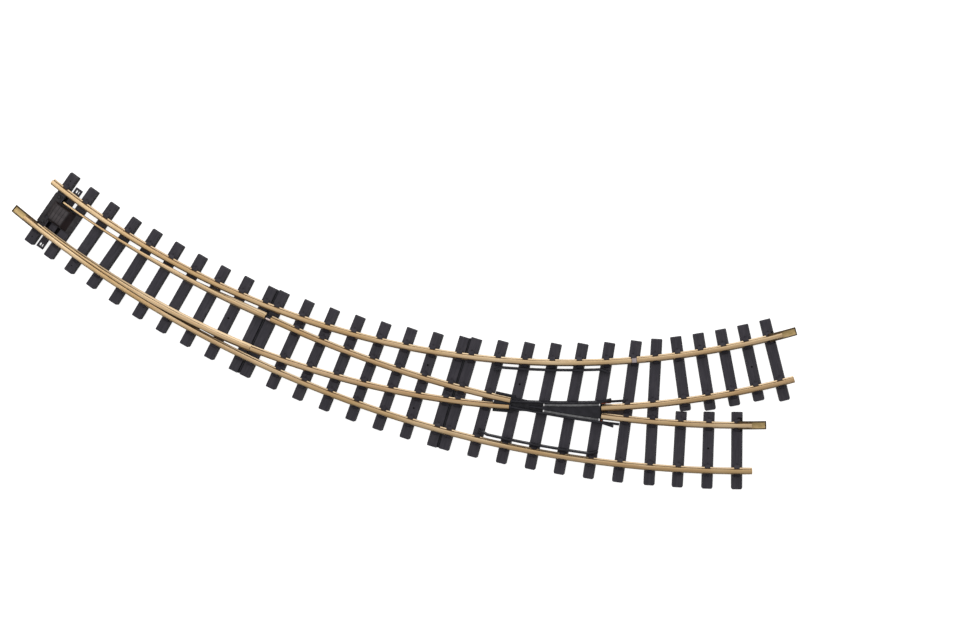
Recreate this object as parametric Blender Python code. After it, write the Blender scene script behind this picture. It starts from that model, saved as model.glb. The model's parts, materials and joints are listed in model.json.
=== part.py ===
"""Curved model railway turnout, 45 mm gauge, left hand.

Two curved routes leave one toe end: a tight inner route and a wide outer one. Brass
rails stand on moulded sleeper strips. A throw bar slides across the toe and swings two
switch blades about their heels, and a frog with wing rails lets the two routes cross.

X runs along the track at the toe, +Y is the inside of both curves, +Z is up.
"""
import bmesh
import bpy
from collections import namedtuple
from math import asin, atan2, cos, pi, radians, sin, sqrt
from mathutils import Matrix, Vector

MM = 0.001

# Track
GAUGE = 45 * MM
INNER_RADIUS = 921.5 * MM
OUTER_RADIUS = 1220 * MM
TOE_END_DEG = 0.5
INNER_END_DEG = 54.3
OUTER_END_DEG = 39.8

# Rail section
RAIL_HEIGHT = 8.3 * MM
HEAD_WIDTH = 4.6 * MM
FOOT_WIDTH = 8.3 * MM
WEB_WIDTH = 1.6 * MM
FOOT_EDGE = 0.9 * MM
FOOT_CROWN = 1.8 * MM
HEAD_UNDERSIDE = 5.4 * MM
HEAD_SHOULDER = 6.2 * MM
HEAD_CHAMFER = 0.4 * MM
RAIL_OFFSET = (GAUGE + HEAD_WIDTH) / 2
RAIL_STEP = 20 * MM

# Sleepers
SLEEPER_HEIGHT = 10.5 * MM
SLEEPER_WIDTH = 12.4 * MM
SLEEPER_DRAFT = 0.95
SLEEPER_END = 45 * MM
WEB_STRIP_WIDTH = 5 * MM
WEB_STRIP_BOTTOM = 1.5 * MM
WEB_STRIP_TOP = 6.5 * MM
CHAIR_LENGTH = 5.2 * MM
CHAIR_WIDTH = 2.8 * MM
CHAIR_HEIGHT = 2.2 * MM
CHAIR_ROOT = 1 * MM
SCREW_HOLE_RADIUS = 1.2 * MM

CLEARANCE = 0.3 * MM
RAIL_BASE = SLEEPER_HEIGHT + CLEARANCE
RAIL_TOP = RAIL_BASE + RAIL_HEIGHT

# Toe mechanism, in a frame that is turned a little from the toe's tangent
MECHANISM_TURN_DEG = 3.8
TOE_STATIONS = (25 * MM, 51.5 * MM, 79 * MM, 108 * MM)
THROW = 6.3 * MM
BAR_WIDTH = 8.4 * MM
BAR_BOTTOM = 6.2 * MM
BAR_TOP = 9.8 * MM
LUG_SLOT_CENTRE = 35 * MM
LUG_SLOT_LENGTH = 5.4 * MM
LUG_SLOT_WIDTH = 4.8 * MM
LUG_WALL = 1.6 * MM
PIN_RADIUS = 0.9 * MM
PIN_SLOT_LENGTH = 3.8 * MM
PIN_SLOT_WIDTH = 2.6 * MM
BASE_HALF_WIDTH = 13 * MM
BASE_BOTTOM = 0.6 * MM
BASE_TOP = 4.6 * MM
COVER_LENGTH = 30.5 * MM
COVER_WIDTH = 22.8 * MM
COVER_PAD_LENGTH = 16.7 * MM
COVER_PAD_WIDTH = 19 * MM
COVER_PAD_SHIFT = -1.7 * MM
COVER_EAR_LENGTH = 9.2 * MM
COVER_RECESS_SIZE = 4.5 * MM
COVER_RECESS_PLACE = Vector((-11.75 * MM, -9.35 * MM, 0))
COVER_FLANGE = 0.9 * MM
COVER_EAR_HALF_WIDTH = 18.6 * MM
COVER_HEIGHT = 5.2 * MM
COVER_WALL = 1 * MM
COVER_RIBS = 6
SPRING_ARM = 8.5 * MM
SPRING_WIRE_RADIUS = 0.4 * MM
SPRING_LOOP_RADIUS = 1.6 * MM
SPRING_WAIST = 1.5 * MM
SPRING_TAIL_GAP = 0.7 * MM
SPRING_LEVEL = 11.6 * MM
POST_RADIUS = 0.8 * MM
POST_DEPTH = 4 * MM
SCREW_HEAD_RADIUS = 1.9 * MM
SCREW_SHANK_RADIUS = 0.9 * MM

# Switch blades
TIP_STATION = 31 * MM
TIP_THICKNESS = 1.3 * MM
BLADE_RINGS = 26
HEEL_GAP = 0.5 * MM
PIVOT_SETBACK = 4 * MM
PIVOT_RADIUS = 0.8 * MM
PIVOT_HOLE_RADIUS = 1.1 * MM
PIVOT_DEPTH = 1.2 * MM

# Frog and guard rails
FLANGEWAY = 3 * MM
WING_WIDTH = 2.2 * MM
FROG_START_OUTER_DEG = 27.2
CLOSURE_GAP = 0.3 * MM
TRIM_WIDTH = 4 * MM
FROG_START_INNER_DEG = 35.5
FROG_END_OUTER_DEG = 31.95
FROG_END_INNER_DEG = 41.5
WING_END_DEG = 0.85
WING_FLARE = 3.2 * MM
FROG_FLOOR = 2.4 * MM
NOSE_WIDTH = 1 * MM
STRIP_WIDTH = 2.2 * MM
STRIP_HEIGHT = 2.4 * MM
GUARD_OFFSET = 7.8 * MM
GUARD_WIDTH = 2 * MM
GUARD_FOOT_WIDTH = 4 * MM
GUARD_FOOT_HEIGHT = 1.2 * MM
GUARD_FLARE = 3.6 * MM
GUARD_FLARE_DEG = 0.5
INSULATOR_DEG = 43.95
INSULATOR_LENGTH = 5 * MM

# Rail joiners
JOINER_LENGTH = 31 * MM
JOINER_HALF_WIDTH = 5.2 * MM
JOINER_SIDE = 0.7 * MM
JOINER_LIP = 2.9 * MM
JOINER_BOTTOM = 9.7 * MM
JOINER_TOP = 13 * MM
NOTCH_HALF_WIDTH = 5.8 * MM
NOTCH_BOTTOM = 9.3 * MM

Route = namedtuple("Route", "radius")
Rail = namedtuple("Rail", "route offset start end")
Sleeper = namedtuple("Sleeper", "left right")

INNER = Route(INNER_RADIUS)
OUTER = Route(OUTER_RADIUS)


# ---------------------------------------------------------------- plan geometry

def on_arc(route, offset, degrees, height=0.0):
    """Point on a route's arc. A positive offset lies outside the curve."""
    angle = radians(degrees)
    radius = route.radius + offset
    return Vector((radius * sin(angle), route.radius - radius * cos(angle), height))


def arc_path(route, offset, start, end, step=RAIL_STEP):
    """Evenly spaced points along an arc, both ends included."""
    length = radians(end - start) * (route.radius + offset)
    count = max(2, round(length / step))
    return [on_arc(route, offset, start + (end - start) * i / count) for i in range(count + 1)]


def arc_degrees(route, offset, length):
    """Angle that a length takes up on an arc."""
    return length / (route.radius + offset) * 180 / pi


def polar(route, point):
    """Angle in degrees and radial offset of a point about a route's centre."""
    x = point.x
    y = route.radius - point.y
    return atan2(x, y) * 180 / pi, sqrt(x * x + y * y) - route.radius


def cross_line(route, offset, first, second):
    """Where the straight line from first to second meets an arc."""
    centre = Vector((0, route.radius, 0))
    along = (second - first).normalized()
    nearest = first + along * (centre - first).dot(along)
    radius = route.radius + offset
    half_chord = sqrt(radius ** 2 - (nearest - centre).length ** 2)
    hits = (nearest - along * half_chord, nearest + along * half_chord)
    middle = (first + second) / 2
    return min(hits, key=lambda hit: (hit - middle).length)


def gap_to(route, other, other_offset, offset, degrees):
    """Distance along a route's radius from one arc out to an arc of another route."""
    start = on_arc(route, offset, degrees)
    centre = Vector((0, route.radius, 0))
    hit = cross_line(other, other_offset, centre, start)
    return (hit - centre).length - (route.radius + offset)


def heading(degrees):
    return Matrix.Rotation(radians(degrees), 4, "Z")


# ---------------------------------------------------------------- sleeper layout

def parallel_sleepers():
    """The sleepers at the toe are parallel, so that the mechanism sits square on them."""
    across = heading(MECHANISM_TURN_DEG) @ Vector((0, SLEEPER_END, 0))
    sleepers = []
    for station in TOE_STATIONS:
        mean_curvature = (1 / INNER_RADIUS + 1 / OUTER_RADIUS) / 2
        middle = Vector((station, station ** 2 * mean_curvature / 2, 0))
        sleepers.append(Sleeper(middle + across, middle - across))
    return sleepers


def fan_sleepers(count, left_start, left_pitch, right_start, right_pitch):
    """Long sleepers under both routes, each end at its own pitch."""
    return [
        Sleeper(
            on_arc(INNER, -SLEEPER_END, left_start + left_pitch * i),
            on_arc(OUTER, SLEEPER_END, right_start + right_pitch * i),
        )
        for i in range(count)
    ]


def radial_sleepers(route, start, pitch, left_ends, right_ends):
    """Short sleepers square to one route."""
    ends = zip(left_ends, right_ends)
    return [
        Sleeper(on_arc(route, -left, start + pitch * i), on_arc(route, right, start + pitch * i))
        for i, (left, right) in enumerate(ends)
    ]


TOE_SLEEPERS = parallel_sleepers() + fan_sleepers(6, 8.59, 1.845, 6.41, 1.375)
MIDDLE_SLEEPERS = fan_sleepers(8, 18.68, 1.9, 13.9, 1.42)
FROG_SLEEPERS = fan_sleepers(7, 32.84, 1.893, 24.44, 1.455) + fan_sleepers(1, 45.64, 0, 34.73, 0)
INNER_SLEEPERS = radial_sleepers(
    INNER, 46.98, 1.6, [SLEEPER_END] * 5, [36 * MM, 39 * MM, 39 * MM, 39 * MM, SLEEPER_END])
OUTER_SLEEPERS = radial_sleepers(
    OUTER, 36.12, 1.46, [37 * MM, 38 * MM, 38.5 * MM], [SLEEPER_END] * 3)

# The heels of the blades lie over the joint of the first two sleeper strips.
HEEL_LEFT = (TOE_SLEEPERS[-1].left + MIDDLE_SLEEPERS[0].left) / 2
HEEL_RIGHT = (TOE_SLEEPERS[-1].right + MIDDLE_SLEEPERS[0].right) / 2
LEFT_HEEL_DEG = polar(OUTER, cross_line(OUTER, -RAIL_OFFSET, HEEL_LEFT, HEEL_RIGHT))[0]
RIGHT_HEEL_DEG = polar(INNER, cross_line(INNER, RAIL_OFFSET, HEEL_LEFT, HEEL_RIGHT))[0]

INSULATOR_HALF_DEG = arc_degrees(INNER, -RAIL_OFFSET, INSULATOR_LENGTH / 2 + CLEARANCE)
RAILS = {
    "left_stock_rail_front": Rail(INNER, -RAIL_OFFSET, TOE_END_DEG,
                                  INSULATOR_DEG - INSULATOR_HALF_DEG),
    "left_stock_rail_rear": Rail(INNER, -RAIL_OFFSET,
                                 INSULATOR_DEG + INSULATOR_HALF_DEG, INNER_END_DEG),
    "right_stock_rail": Rail(OUTER, RAIL_OFFSET, TOE_END_DEG * INNER_RADIUS / OUTER_RADIUS,
                             OUTER_END_DEG),
    "left_closure_rail": Rail(
        OUTER, -RAIL_OFFSET, LEFT_HEEL_DEG + arc_degrees(OUTER, -RAIL_OFFSET, HEEL_GAP),
        FROG_START_OUTER_DEG - arc_degrees(OUTER, -RAIL_OFFSET, CLEARANCE)),
    "right_closure_rail": Rail(
        INNER, RAIL_OFFSET, RIGHT_HEEL_DEG + arc_degrees(INNER, RAIL_OFFSET, HEEL_GAP),
        FROG_START_INNER_DEG - arc_degrees(INNER, RAIL_OFFSET, CLEARANCE)),
    "inner_exit_rail": Rail(
        INNER, RAIL_OFFSET, FROG_END_INNER_DEG + arc_degrees(INNER, RAIL_OFFSET, 2 * CLEARANCE),
        INNER_END_DEG),
    "outer_exit_rail": Rail(
        OUTER, -RAIL_OFFSET,
        FROG_END_OUTER_DEG + arc_degrees(OUTER, -RAIL_OFFSET, 2 * CLEARANCE), OUTER_END_DEG),
}


# ---------------------------------------------------------------- scene helpers

def clear_scene():
    for item in list(bpy.data.objects):
        bpy.data.objects.remove(item, do_unlink=True)


def new_collection(name):
    collection = bpy.data.collections.new(name)
    bpy.context.scene.collection.children.link(collection)
    return collection


clear_scene()
PARTS = new_collection("curved_turnout")
CUTTERS = new_collection("cutters")
ROOT = bpy.data.objects.new("turnout_origin", None)
PARTS.objects.link(ROOT)


def principled(name, colour, metallic, roughness):
    material = bpy.data.materials.new(name)
    material.use_nodes = True
    shader = material.node_tree.nodes["Principled BSDF"]
    shader.inputs["Base Color"].default_value = (*colour, 1)
    shader.inputs["Metallic"].default_value = metallic
    shader.inputs["Roughness"].default_value = roughness
    return material


FINISHES = {
    "brass": ((0.62, 0.42, 0.17), 1.0, 0.35),
    "sleeper_plastic": ((0.045, 0.04, 0.047), 0.0, 0.6),
    "black_plastic": ((0.02, 0.02, 0.022), 0.0, 0.5),
    "cover_plastic": ((0.05, 0.035, 0.036), 0.0, 0.5),
    "insert_plastic": ((0.25, 0.24, 0.27), 0.0, 0.5),
    "dark_steel": ((0.2, 0.2, 0.21), 1.0, 0.35),
    "bright_steel": ((0.6, 0.6, 0.62), 1.0, 0.25),
    "copper": ((0.55, 0.22, 0.12), 1.0, 0.35),
}


def link_part(name, mesh, finish, smooth=False):
    """Put a finished mesh in the part collection with a material of its own."""
    colour, metallic, roughness = FINISHES[finish]
    part = bpy.data.objects.new(name, mesh)
    mesh.materials.clear()
    mesh.materials.append(principled(name + "_" + finish, colour, metallic, roughness))
    if smooth:
        mesh.shade_smooth()
        mesh.set_sharp_from_angle(angle=radians(40))
    PARTS.objects.link(part)
    part.parent = ROOT
    return part


def link_cutter(name, mesh):
    cutter = bpy.data.objects.new(name, mesh)
    cutter.hide_render = True
    cutter.display_type = "WIRE"
    CUTTERS.objects.link(cutter)
    cutter.parent = ROOT
    return cutter


def mesh_from(bm, name):
    mesh = bpy.data.meshes.new(name)
    bmesh.ops.recalc_face_normals(bm, faces=bm.faces)
    bm.to_mesh(mesh)
    bm.free()
    return mesh


def boolean(part, cutter, operation):
    modifier = part.modifiers.new(operation.lower(), "BOOLEAN")
    modifier.operation = operation
    modifier.solver = "EXACT"
    modifier.use_self = operation == "UNION"
    modifier.object = cutter


# ---------------------------------------------------------------- solid builders

def add_box(bm, size, place, top_scale=(1, 1), top_shift=0.0):
    """Box on its base centre, whose top may be smaller and shifted along X."""
    made = bmesh.ops.create_cube(bm, size=1)["verts"]
    for vert in made:
        is_top = vert.co.z > 0
        vert.co = Vector((
            vert.co.x * size[0] * (top_scale[0] if is_top else 1) + (top_shift if is_top else 0),
            vert.co.y * size[1] * (top_scale[1] if is_top else 1),
            (vert.co.z + 0.5) * size[2],
        ))
        vert.co = place @ vert.co


def add_cylinder(bm, radius, bottom, top, place, segments=16):
    lift = Matrix.Translation((0, 0, (bottom + top) / 2))
    bmesh.ops.create_cone(
        bm, cap_ends=True, segments=segments, radius1=radius, radius2=radius,
        depth=top - bottom, matrix=place @ lift)


def placed(point, degrees, height=0.0):
    """Frame at a point, turned to a heading, at a height."""
    return Matrix.Translation((point.x, point.y, height)) @ heading(degrees)


def sweep(name, path, section):
    """Mesh of a closed section, given as (offset, height) points, swept along a path."""
    profile_data = bpy.data.curves.new(name + "_section", "CURVE")
    outline = profile_data.splines.new("POLY")
    outline.points.add(len(section) - 1)
    for point, (offset, height) in zip(outline.points, section):
        point.co = (offset, height, 0, 1)
    outline.use_cyclic_u = True
    profile = bpy.data.objects.new(name + "_section", profile_data)
    CUTTERS.objects.link(profile)

    data = bpy.data.curves.new(name, "CURVE")
    data.dimensions = "3D"
    data.twist_mode = "Z_UP"
    data.bevel_mode = "OBJECT"
    data.bevel_object = profile
    data.use_fill_caps = True
    spline = data.splines.new("POLY")
    spline.points.add(len(path) - 1)
    for point, place in zip(spline.points, path):
        point.co = (*place, 1)
    return solid_from_curve(bpy.data.objects.new(name, data), profile)


def solid_from_curve(curve, helper=None):
    """Closed mesh of a curve object, with its caps welded on."""
    CUTTERS.objects.link(curve)
    evaluated = curve.evaluated_get(bpy.context.evaluated_depsgraph_get())
    mesh = bpy.data.meshes.new_from_object(evaluated)
    bpy.data.objects.remove(curve, do_unlink=True)
    if helper:
        bpy.data.objects.remove(helper, do_unlink=True)
    bm = bmesh.new()
    bm.from_mesh(mesh)
    bmesh.ops.remove_doubles(bm, verts=bm.verts, dist=0.01 * MM)
    bmesh.ops.recalc_face_normals(bm, faces=bm.faces)
    bm.to_mesh(mesh)
    bm.free()
    return mesh


def flat_outline(name, points, bottom, top):
    """Mesh of a flat outline between two heights."""
    data = bpy.data.curves.new(name, "CURVE")
    data.dimensions = "2D"
    data.fill_mode = "BOTH"
    data.extrude = (top - bottom) / 2
    spline = data.splines.new("POLY")
    spline.points.add(len(points) - 1)
    for point, place in zip(spline.points, points):
        point.co = (place.x, place.y, 0, 1)
    spline.use_cyclic_u = True
    mesh = solid_from_curve(bpy.data.objects.new(name, data))
    mesh.transform(Matrix.Translation((0, 0, (bottom + top) / 2)))
    return mesh


def wire(name, path, radius):
    """Mesh of a round wire along a path."""
    data = bpy.data.curves.new(name, "CURVE")
    data.dimensions = "3D"
    data.bevel_depth = radius
    data.bevel_resolution = 1
    data.use_fill_caps = True
    spline = data.splines.new("POLY")
    spline.points.add(len(path) - 1)
    for point, place in zip(spline.points, path):
        point.co = (*place, 1)
    return solid_from_curve(bpy.data.objects.new(name, data))


def loft(rings):
    """Closed mesh through rings that have the same number of points."""
    bm = bmesh.new()
    loops = [[bm.verts.new(point) for point in ring] for ring in rings]
    for near, far in zip(loops, loops[1:]):
        for i in range(len(near)):
            j = (i + 1) % len(near)
            bm.faces.new((near[i], near[j], far[j], far[i]))
    bm.faces.new(loops[0])
    bm.faces.new(loops[-1])
    return bm


def join(bm, mesh):
    bm.from_mesh(mesh)
    bpy.data.meshes.remove(mesh)


# ---------------------------------------------------------------- rails

def rail_section():
    """Flat-bottomed rail: wide foot, thin web and a head with a small chamfer."""
    half = [
        (FOOT_WIDTH / 2, 0),
        (FOOT_WIDTH / 2, FOOT_EDGE),
        (WEB_WIDTH / 2, FOOT_CROWN),
        (WEB_WIDTH / 2, HEAD_UNDERSIDE),
        (HEAD_WIDTH / 2, HEAD_SHOULDER),
        (HEAD_WIDTH / 2, RAIL_HEIGHT - HEAD_CHAMFER),
        (HEAD_WIDTH / 2 - HEAD_CHAMFER, RAIL_HEIGHT),
    ]
    other = [(-offset, height) for offset, height in reversed(half)]
    return [(offset, height + RAIL_BASE) for offset, height in half + other]


def foot_trimmer(name, towards):
    """Cutter for the part of a closure rail's foot that would reach its neighbour's."""
    path = []
    for i in range(7):
        degrees = FROG_START_INNER_DEG - 2.5 + 0.5 * i
        right = on_arc(INNER, RAIL_OFFSET, degrees)
        left = on_arc(OUTER, -RAIL_OFFSET, polar(OUTER, right)[0])
        across = (right - left).normalized() * towards
        path.append((left + right) / 2 + across * (TRIM_WIDTH - CLOSURE_GAP) / 2)
    top = RAIL_BASE + FOOT_CROWN + 0.4 * MM
    bottom = RAIL_BASE - 1 * MM
    section = plate_section(TRIM_WIDTH, bottom, top)
    return link_cutter(name + "_foot_trimmer", sweep(name, path, section))


def make_rails():
    for name, rail in RAILS.items():
        path = arc_path(rail.route, rail.offset, rail.start, rail.end)
        part = link_part(name, sweep(name, path, rail_section()), "brass")
        if "closure" in name:
            boolean(part, foot_trimmer(name, 1 if "left" in name else -1), "DIFFERENCE")


def make_insulator():
    """Moulded piece that parts the left stock rail electrically and keeps its profile."""
    half = arc_degrees(INNER, -RAIL_OFFSET, INSULATOR_LENGTH / 2)
    path = arc_path(INNER, -RAIL_OFFSET, INSULATOR_DEG - half, INSULATOR_DEG + half)
    link_part("stock_rail_insulator", sweep("insulator", path, rail_section()), "insert_plastic")


# ---------------------------------------------------------------- switch blades

def blade_ring(gauge_face, to_world):
    """Blade section when closed, by distance from the stock rail's centre line.

    The stock side is planed so that the head lies against the stock rail's head and
    the foot stays clear of the stock rail's foot.
    """
    stock_side = max(HEAD_WIDTH / 2 + CLEARANCE, gauge_face - HEAD_WIDTH)
    centre = (stock_side + gauge_face) / 2
    thickness = gauge_face - stock_side
    half_web = min(WEB_WIDTH / 2, thickness / 2 - 0.05 * MM)
    chamfer = min(HEAD_CHAMFER, thickness / 4)
    foot_limit = FOOT_WIDTH / 2 + CLEARANCE
    foot_left = max(foot_limit, centre - FOOT_WIDTH / 2)
    foot_right = gauge_face + (FOOT_WIDTH - HEAD_WIDTH) / 2
    planed = (foot_left - (centre - FOOT_WIDTH / 2)) / (foot_limit + FOOT_WIDTH / 2)
    outline = [
        (foot_right, 0),
        (foot_right, FOOT_EDGE),
        (centre + half_web, FOOT_CROWN + 1.8 * MM * planed),
        (centre + half_web, HEAD_UNDERSIDE),
        (gauge_face, HEAD_SHOULDER),
        (gauge_face, RAIL_HEIGHT - chamfer),
        (gauge_face - chamfer, RAIL_HEIGHT),
        (stock_side + chamfer, RAIL_HEIGHT),
        (stock_side, RAIL_HEIGHT - chamfer),
        (stock_side, HEAD_SHOULDER),
        (centre - half_web, HEAD_UNDERSIDE),
        (centre - half_web, FOOT_CROWN + 0.9 * MM * planed),
        (foot_left, FOOT_EDGE + 0.6 * MM * planed),
        (foot_left, 0),
    ]
    return [to_world(distance, height + RAIL_BASE) for distance, height in outline]


def blade_shape(stock, stock_offset, side, route, route_offset, heel_deg):
    """Rings of a closed blade, from its tip to its heel, and its pin and pivot points."""
    heel = on_arc(route, route_offset, heel_deg)
    start = TIP_STATION / (stock.radius + stock_offset) * 180 / pi
    end = polar(stock, heel)[0]

    def gauge_face(degrees):
        run = (degrees - start) / (end - start)
        lead = abs(gap_to(stock, route, route_offset, stock_offset, degrees))
        return HEAD_WIDTH / 2 + lead + TIP_THICKNESS * (1 - run ** 2)

    def place(degrees, distance, height=0.0):
        return on_arc(stock, stock_offset + side * distance, degrees, height)

    rings = []
    for i in range(BLADE_RINGS + 1):
        degrees = start + (end - start) * i / BLADE_RINGS
        rings.append(blade_ring(
            gauge_face(degrees), lambda distance, height: place(degrees, distance, height)))
    pin_deg = polar(stock, MECHANISM_CENTRE)[0]
    pin = place(pin_deg, (FOOT_WIDTH / 2 + CLEARANCE + gauge_face(pin_deg)) / 2 + PIN_RADIUS)
    pivot = on_arc(route, route_offset, heel_deg - arc_degrees(route, route_offset, PIVOT_SETBACK))
    return rings, pin, pivot


def toe_middle():
    first = TOE_SLEEPERS[0]
    second = TOE_SLEEPERS[1]
    return (first.left + first.right + second.left + second.right) / 4


MECHANISM_CENTRE = toe_middle()
MECHANISM = placed(MECHANISM_CENTRE, MECHANISM_TURN_DEG)

BLADES = {
    "left": blade_shape(INNER, -RAIL_OFFSET, 1, OUTER, -RAIL_OFFSET, LEFT_HEEL_DEG),
    "right": blade_shape(OUTER, RAIL_OFFSET, -1, INNER, RAIL_OFFSET, RIGHT_HEEL_DEG),
}


def open_turn(pin, pivot):
    """Angle that swings a blade off its stock rail by the throw at its drive pin."""
    return THROW * cos(radians(MECHANISM_TURN_DEG)) / (pivot.x - pin.x)


def swing(point, pivot, angle):
    turned = Matrix.Rotation(angle, 4, "Z") @ (point - pivot)
    return turned + pivot


def make_blades():
    """Both blades as they stand at rest: the left one open, the right one closed."""
    for side, (rings, pin, pivot) in BLADES.items():
        angle = open_turn(pin, pivot) if side == "left" else 0.0
        bm = loft(rings)
        bmesh.ops.translate(bm, verts=bm.verts, vec=-pivot)
        blade = link_part(side + "_switch_blade", mesh_from(bm, side + "_blade"), "brass")
        blade.location = pivot
        blade.rotation_euler = (0, 0, angle)

        socket = bmesh.new()
        add_cylinder(socket, PIVOT_HOLE_RADIUS, RAIL_BASE - 1 * MM, RAIL_BASE + PIVOT_DEPTH,
                     Matrix.Identity(4))
        cutter = link_cutter(side + "_pivot_socket", mesh_from(socket, "pivot_socket"))
        cutter.location = pivot
        boolean(blade, cutter, "DIFFERENCE")

        pin_bm = bmesh.new()
        add_cylinder(pin_bm, PIN_RADIUS, BAR_BOTTOM, RAIL_BASE - CLEARANCE,
                     Matrix.Translation(pin - pivot))
        drive_pin = link_part(side + "_blade_drive_pin", mesh_from(pin_bm, "drive_pin"),
                              "bright_steel", smooth=True)
        drive_pin.location = pivot
        drive_pin.rotation_euler = (0, 0, angle)

        pivot_bm = bmesh.new()
        add_cylinder(pivot_bm, PIVOT_RADIUS, SLEEPER_HEIGHT - 3 * MM,
                     RAIL_BASE + PIVOT_DEPTH - CLEARANCE, Matrix.Identity(4))
        pivot_pin = link_part(side + "_heel_pivot_pin", mesh_from(pivot_bm, "pivot_pin"),
                              "bright_steel", smooth=True)
        pivot_pin.location = pivot


def make_heel_clips():
    """Springy contact clips that carry current across the joint at each blade's heel."""
    for side, route, offset, inside, start in (
            ("left", OUTER, -RAIL_OFFSET, 1, LEFT_HEEL_DEG),
            ("right", INNER, RAIL_OFFSET, -1, RIGHT_HEEL_DEG)):
        near = arc_degrees(route, offset, 1.5 * MM)
        far = arc_degrees(route, offset, 11 * MM)
        path = arc_path(route, offset + inside * 1.6 * MM, start + near, start + far, 3 * MM)
        low = RAIL_BASE + 2.1 * MM
        high = RAIL_BASE + 5.2 * MM
        section = [(0.3 * MM, low), (0.3 * MM, high), (-0.3 * MM, high), (-0.3 * MM, low)]
        name = side + "_heel_contact_clip"
        link_part(name, sweep(name, path, section), "bright_steel")


# ---------------------------------------------------------------- sleepers

def pivot_points():
    return [blade[2] for blade in BLADES.values()]


def rail_room(point, own):
    """True where a chair at this point stays clear of every rail but its own."""
    for rail in RAILS.values():
        degrees, radial = polar(rail.route, point)
        beside = rail.start - 0.3 < degrees < rail.end + 0.3
        if rail is not own and beside and abs(radial - rail.offset) < 6.2 * MM:
            return False
    return True


def add_chairs(bm, sleeper):
    """Moulded blocks on both sides of each rail's foot, wherever there is room."""
    for rail in RAILS.values():
        hit = cross_line(rail.route, rail.offset, sleeper.left, sleeper.right)
        degrees = polar(rail.route, hit)[0]
        if not rail.start + 0.2 < degrees < rail.end - 0.2:
            continue
        if not within(sleeper, hit):
            continue
        for side in (-1, 1):
            reach = FOOT_WIDTH / 2 + CLEARANCE + CHAIR_WIDTH / 2
            point = on_arc(rail.route, rail.offset + side * reach, degrees)
            inward = side * rail.offset < 0
            if inward and blocked(point, rail) or not rail_room(point, rail):
                continue
            add_box(bm, (CHAIR_LENGTH, CHAIR_WIDTH, CHAIR_HEIGHT + CHAIR_ROOT),
                    placed(point, degrees, SLEEPER_HEIGHT - CHAIR_ROOT), (0.9, 0.8))


def within(sleeper, point):
    length = (sleeper.right - sleeper.left).length
    along = (point - sleeper.left).dot(sleeper.right - sleeper.left) / length
    return 6 * MM < along < length - 6 * MM


def blocked(point, rail):
    """True where a blade, the frog or a guard rail takes the room beside a rail."""
    blade_end = max(pivot.x for pivot in pivot_points()) + 10 * MM
    if point.x < blade_end:
        return True
    degrees = polar(rail.route, point)[0]
    if rail.route is INNER:
        guarded = GUARD_INNER_START - 1.2 < degrees < GUARD_INNER_END + 1.2
    else:
        guarded = GUARD_OUTER_START - 1 < degrees < GUARD_OUTER_END + 1
    return guarded


GUARD_INNER_START = 34.8
GUARD_INNER_END = 41.7
GUARD_OUTER_START = 26.4
GUARD_OUTER_END = 31.55


def add_sleeper(bm, sleeper):
    across = sleeper.left - sleeper.right
    turn = atan2(-across.x, across.y) * 180 / pi
    middle = (sleeper.left + sleeper.right) / 2
    add_box(bm, (SLEEPER_WIDTH, across.length, SLEEPER_HEIGHT), placed(middle, turn),
            (SLEEPER_DRAFT, 0.995))


def web_strip(name, route, offset, sleepers):
    """Low web that ties a strip's sleepers together under one rail."""
    first = polar(route, cross_line(route, offset, sleepers[0].left, sleepers[0].right))[0]
    last = polar(route, cross_line(route, offset, sleepers[-1].left, sleepers[-1].right))[0]
    half = WEB_STRIP_WIDTH / 2
    section = [(half, WEB_STRIP_BOTTOM), (half, WEB_STRIP_TOP),
               (-half, WEB_STRIP_TOP), (-half, WEB_STRIP_BOTTOM)]
    return sweep(name, arc_path(route, offset, first, last), section)


def make_strip(name, sleepers, webs, extra=None, holes=()):
    """One moulding: sleepers, webs and chairs in one body, with its holes and notches."""
    blanks = bmesh.new()
    for sleeper in sleepers:
        add_sleeper(blanks, sleeper)
        add_chairs(blanks, sleeper)
    for route, offset, tied in webs[1:]:
        join(blanks, web_strip(name + "_web", route, offset, tied))
    if extra:
        extra(blanks)
    route, offset, tied = webs[0]
    strip = link_part(name, web_strip(name, route, offset, tied), "sleeper_plastic")
    boolean(strip, link_cutter(name + "_blanks", mesh_from(blanks, name + "_blanks")), "UNION")

    cuts = bmesh.new()
    for index, fraction in holes:
        point = sleepers[index].left.lerp(sleepers[index].right, fraction)
        add_cylinder(cuts, SCREW_HOLE_RADIUS, -1 * MM, SLEEPER_HEIGHT + 1 * MM,
                     Matrix.Translation(point))
    for cut in STRIP_CUTS.get(name, ()):
        cut(cuts)
    if cuts.verts:
        cutter = link_cutter(name + "_cuts", mesh_from(cuts, name + "_cuts"))
        boolean(strip, cutter, "DIFFERENCE")
    else:
        cuts.free()


def joiner_notch(route, offset, degrees, side):
    """Cutter for the recess in a sleeper where a rail joiner reaches over it."""
    def cut(bm):
        shift = side * (JOINER_LENGTH / 2 + CLEARANCE)
        inner_end = degrees - arc_degrees(route, offset, shift)
        centre_deg = inner_end + side * arc_degrees(route, offset, 10 * MM)
        point = on_arc(route, offset, centre_deg)
        add_box(bm, (20 * MM, 2 * NOTCH_HALF_WIDTH, 6 * MM), placed(point, centre_deg, NOTCH_BOTTOM))
    return cut


def pivot_holes(bm):
    for pivot in pivot_points():
        add_cylinder(bm, PIVOT_HOLE_RADIUS, SLEEPER_HEIGHT - 3 * MM - CLEARANCE,
                     SLEEPER_HEIGHT + 1 * MM, Matrix.Translation(pivot))


SCREW_PLACES = (Vector((-13.2 * MM, 16 * MM, 0)), Vector((-13.2 * MM, -16 * MM, 0)))


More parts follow.
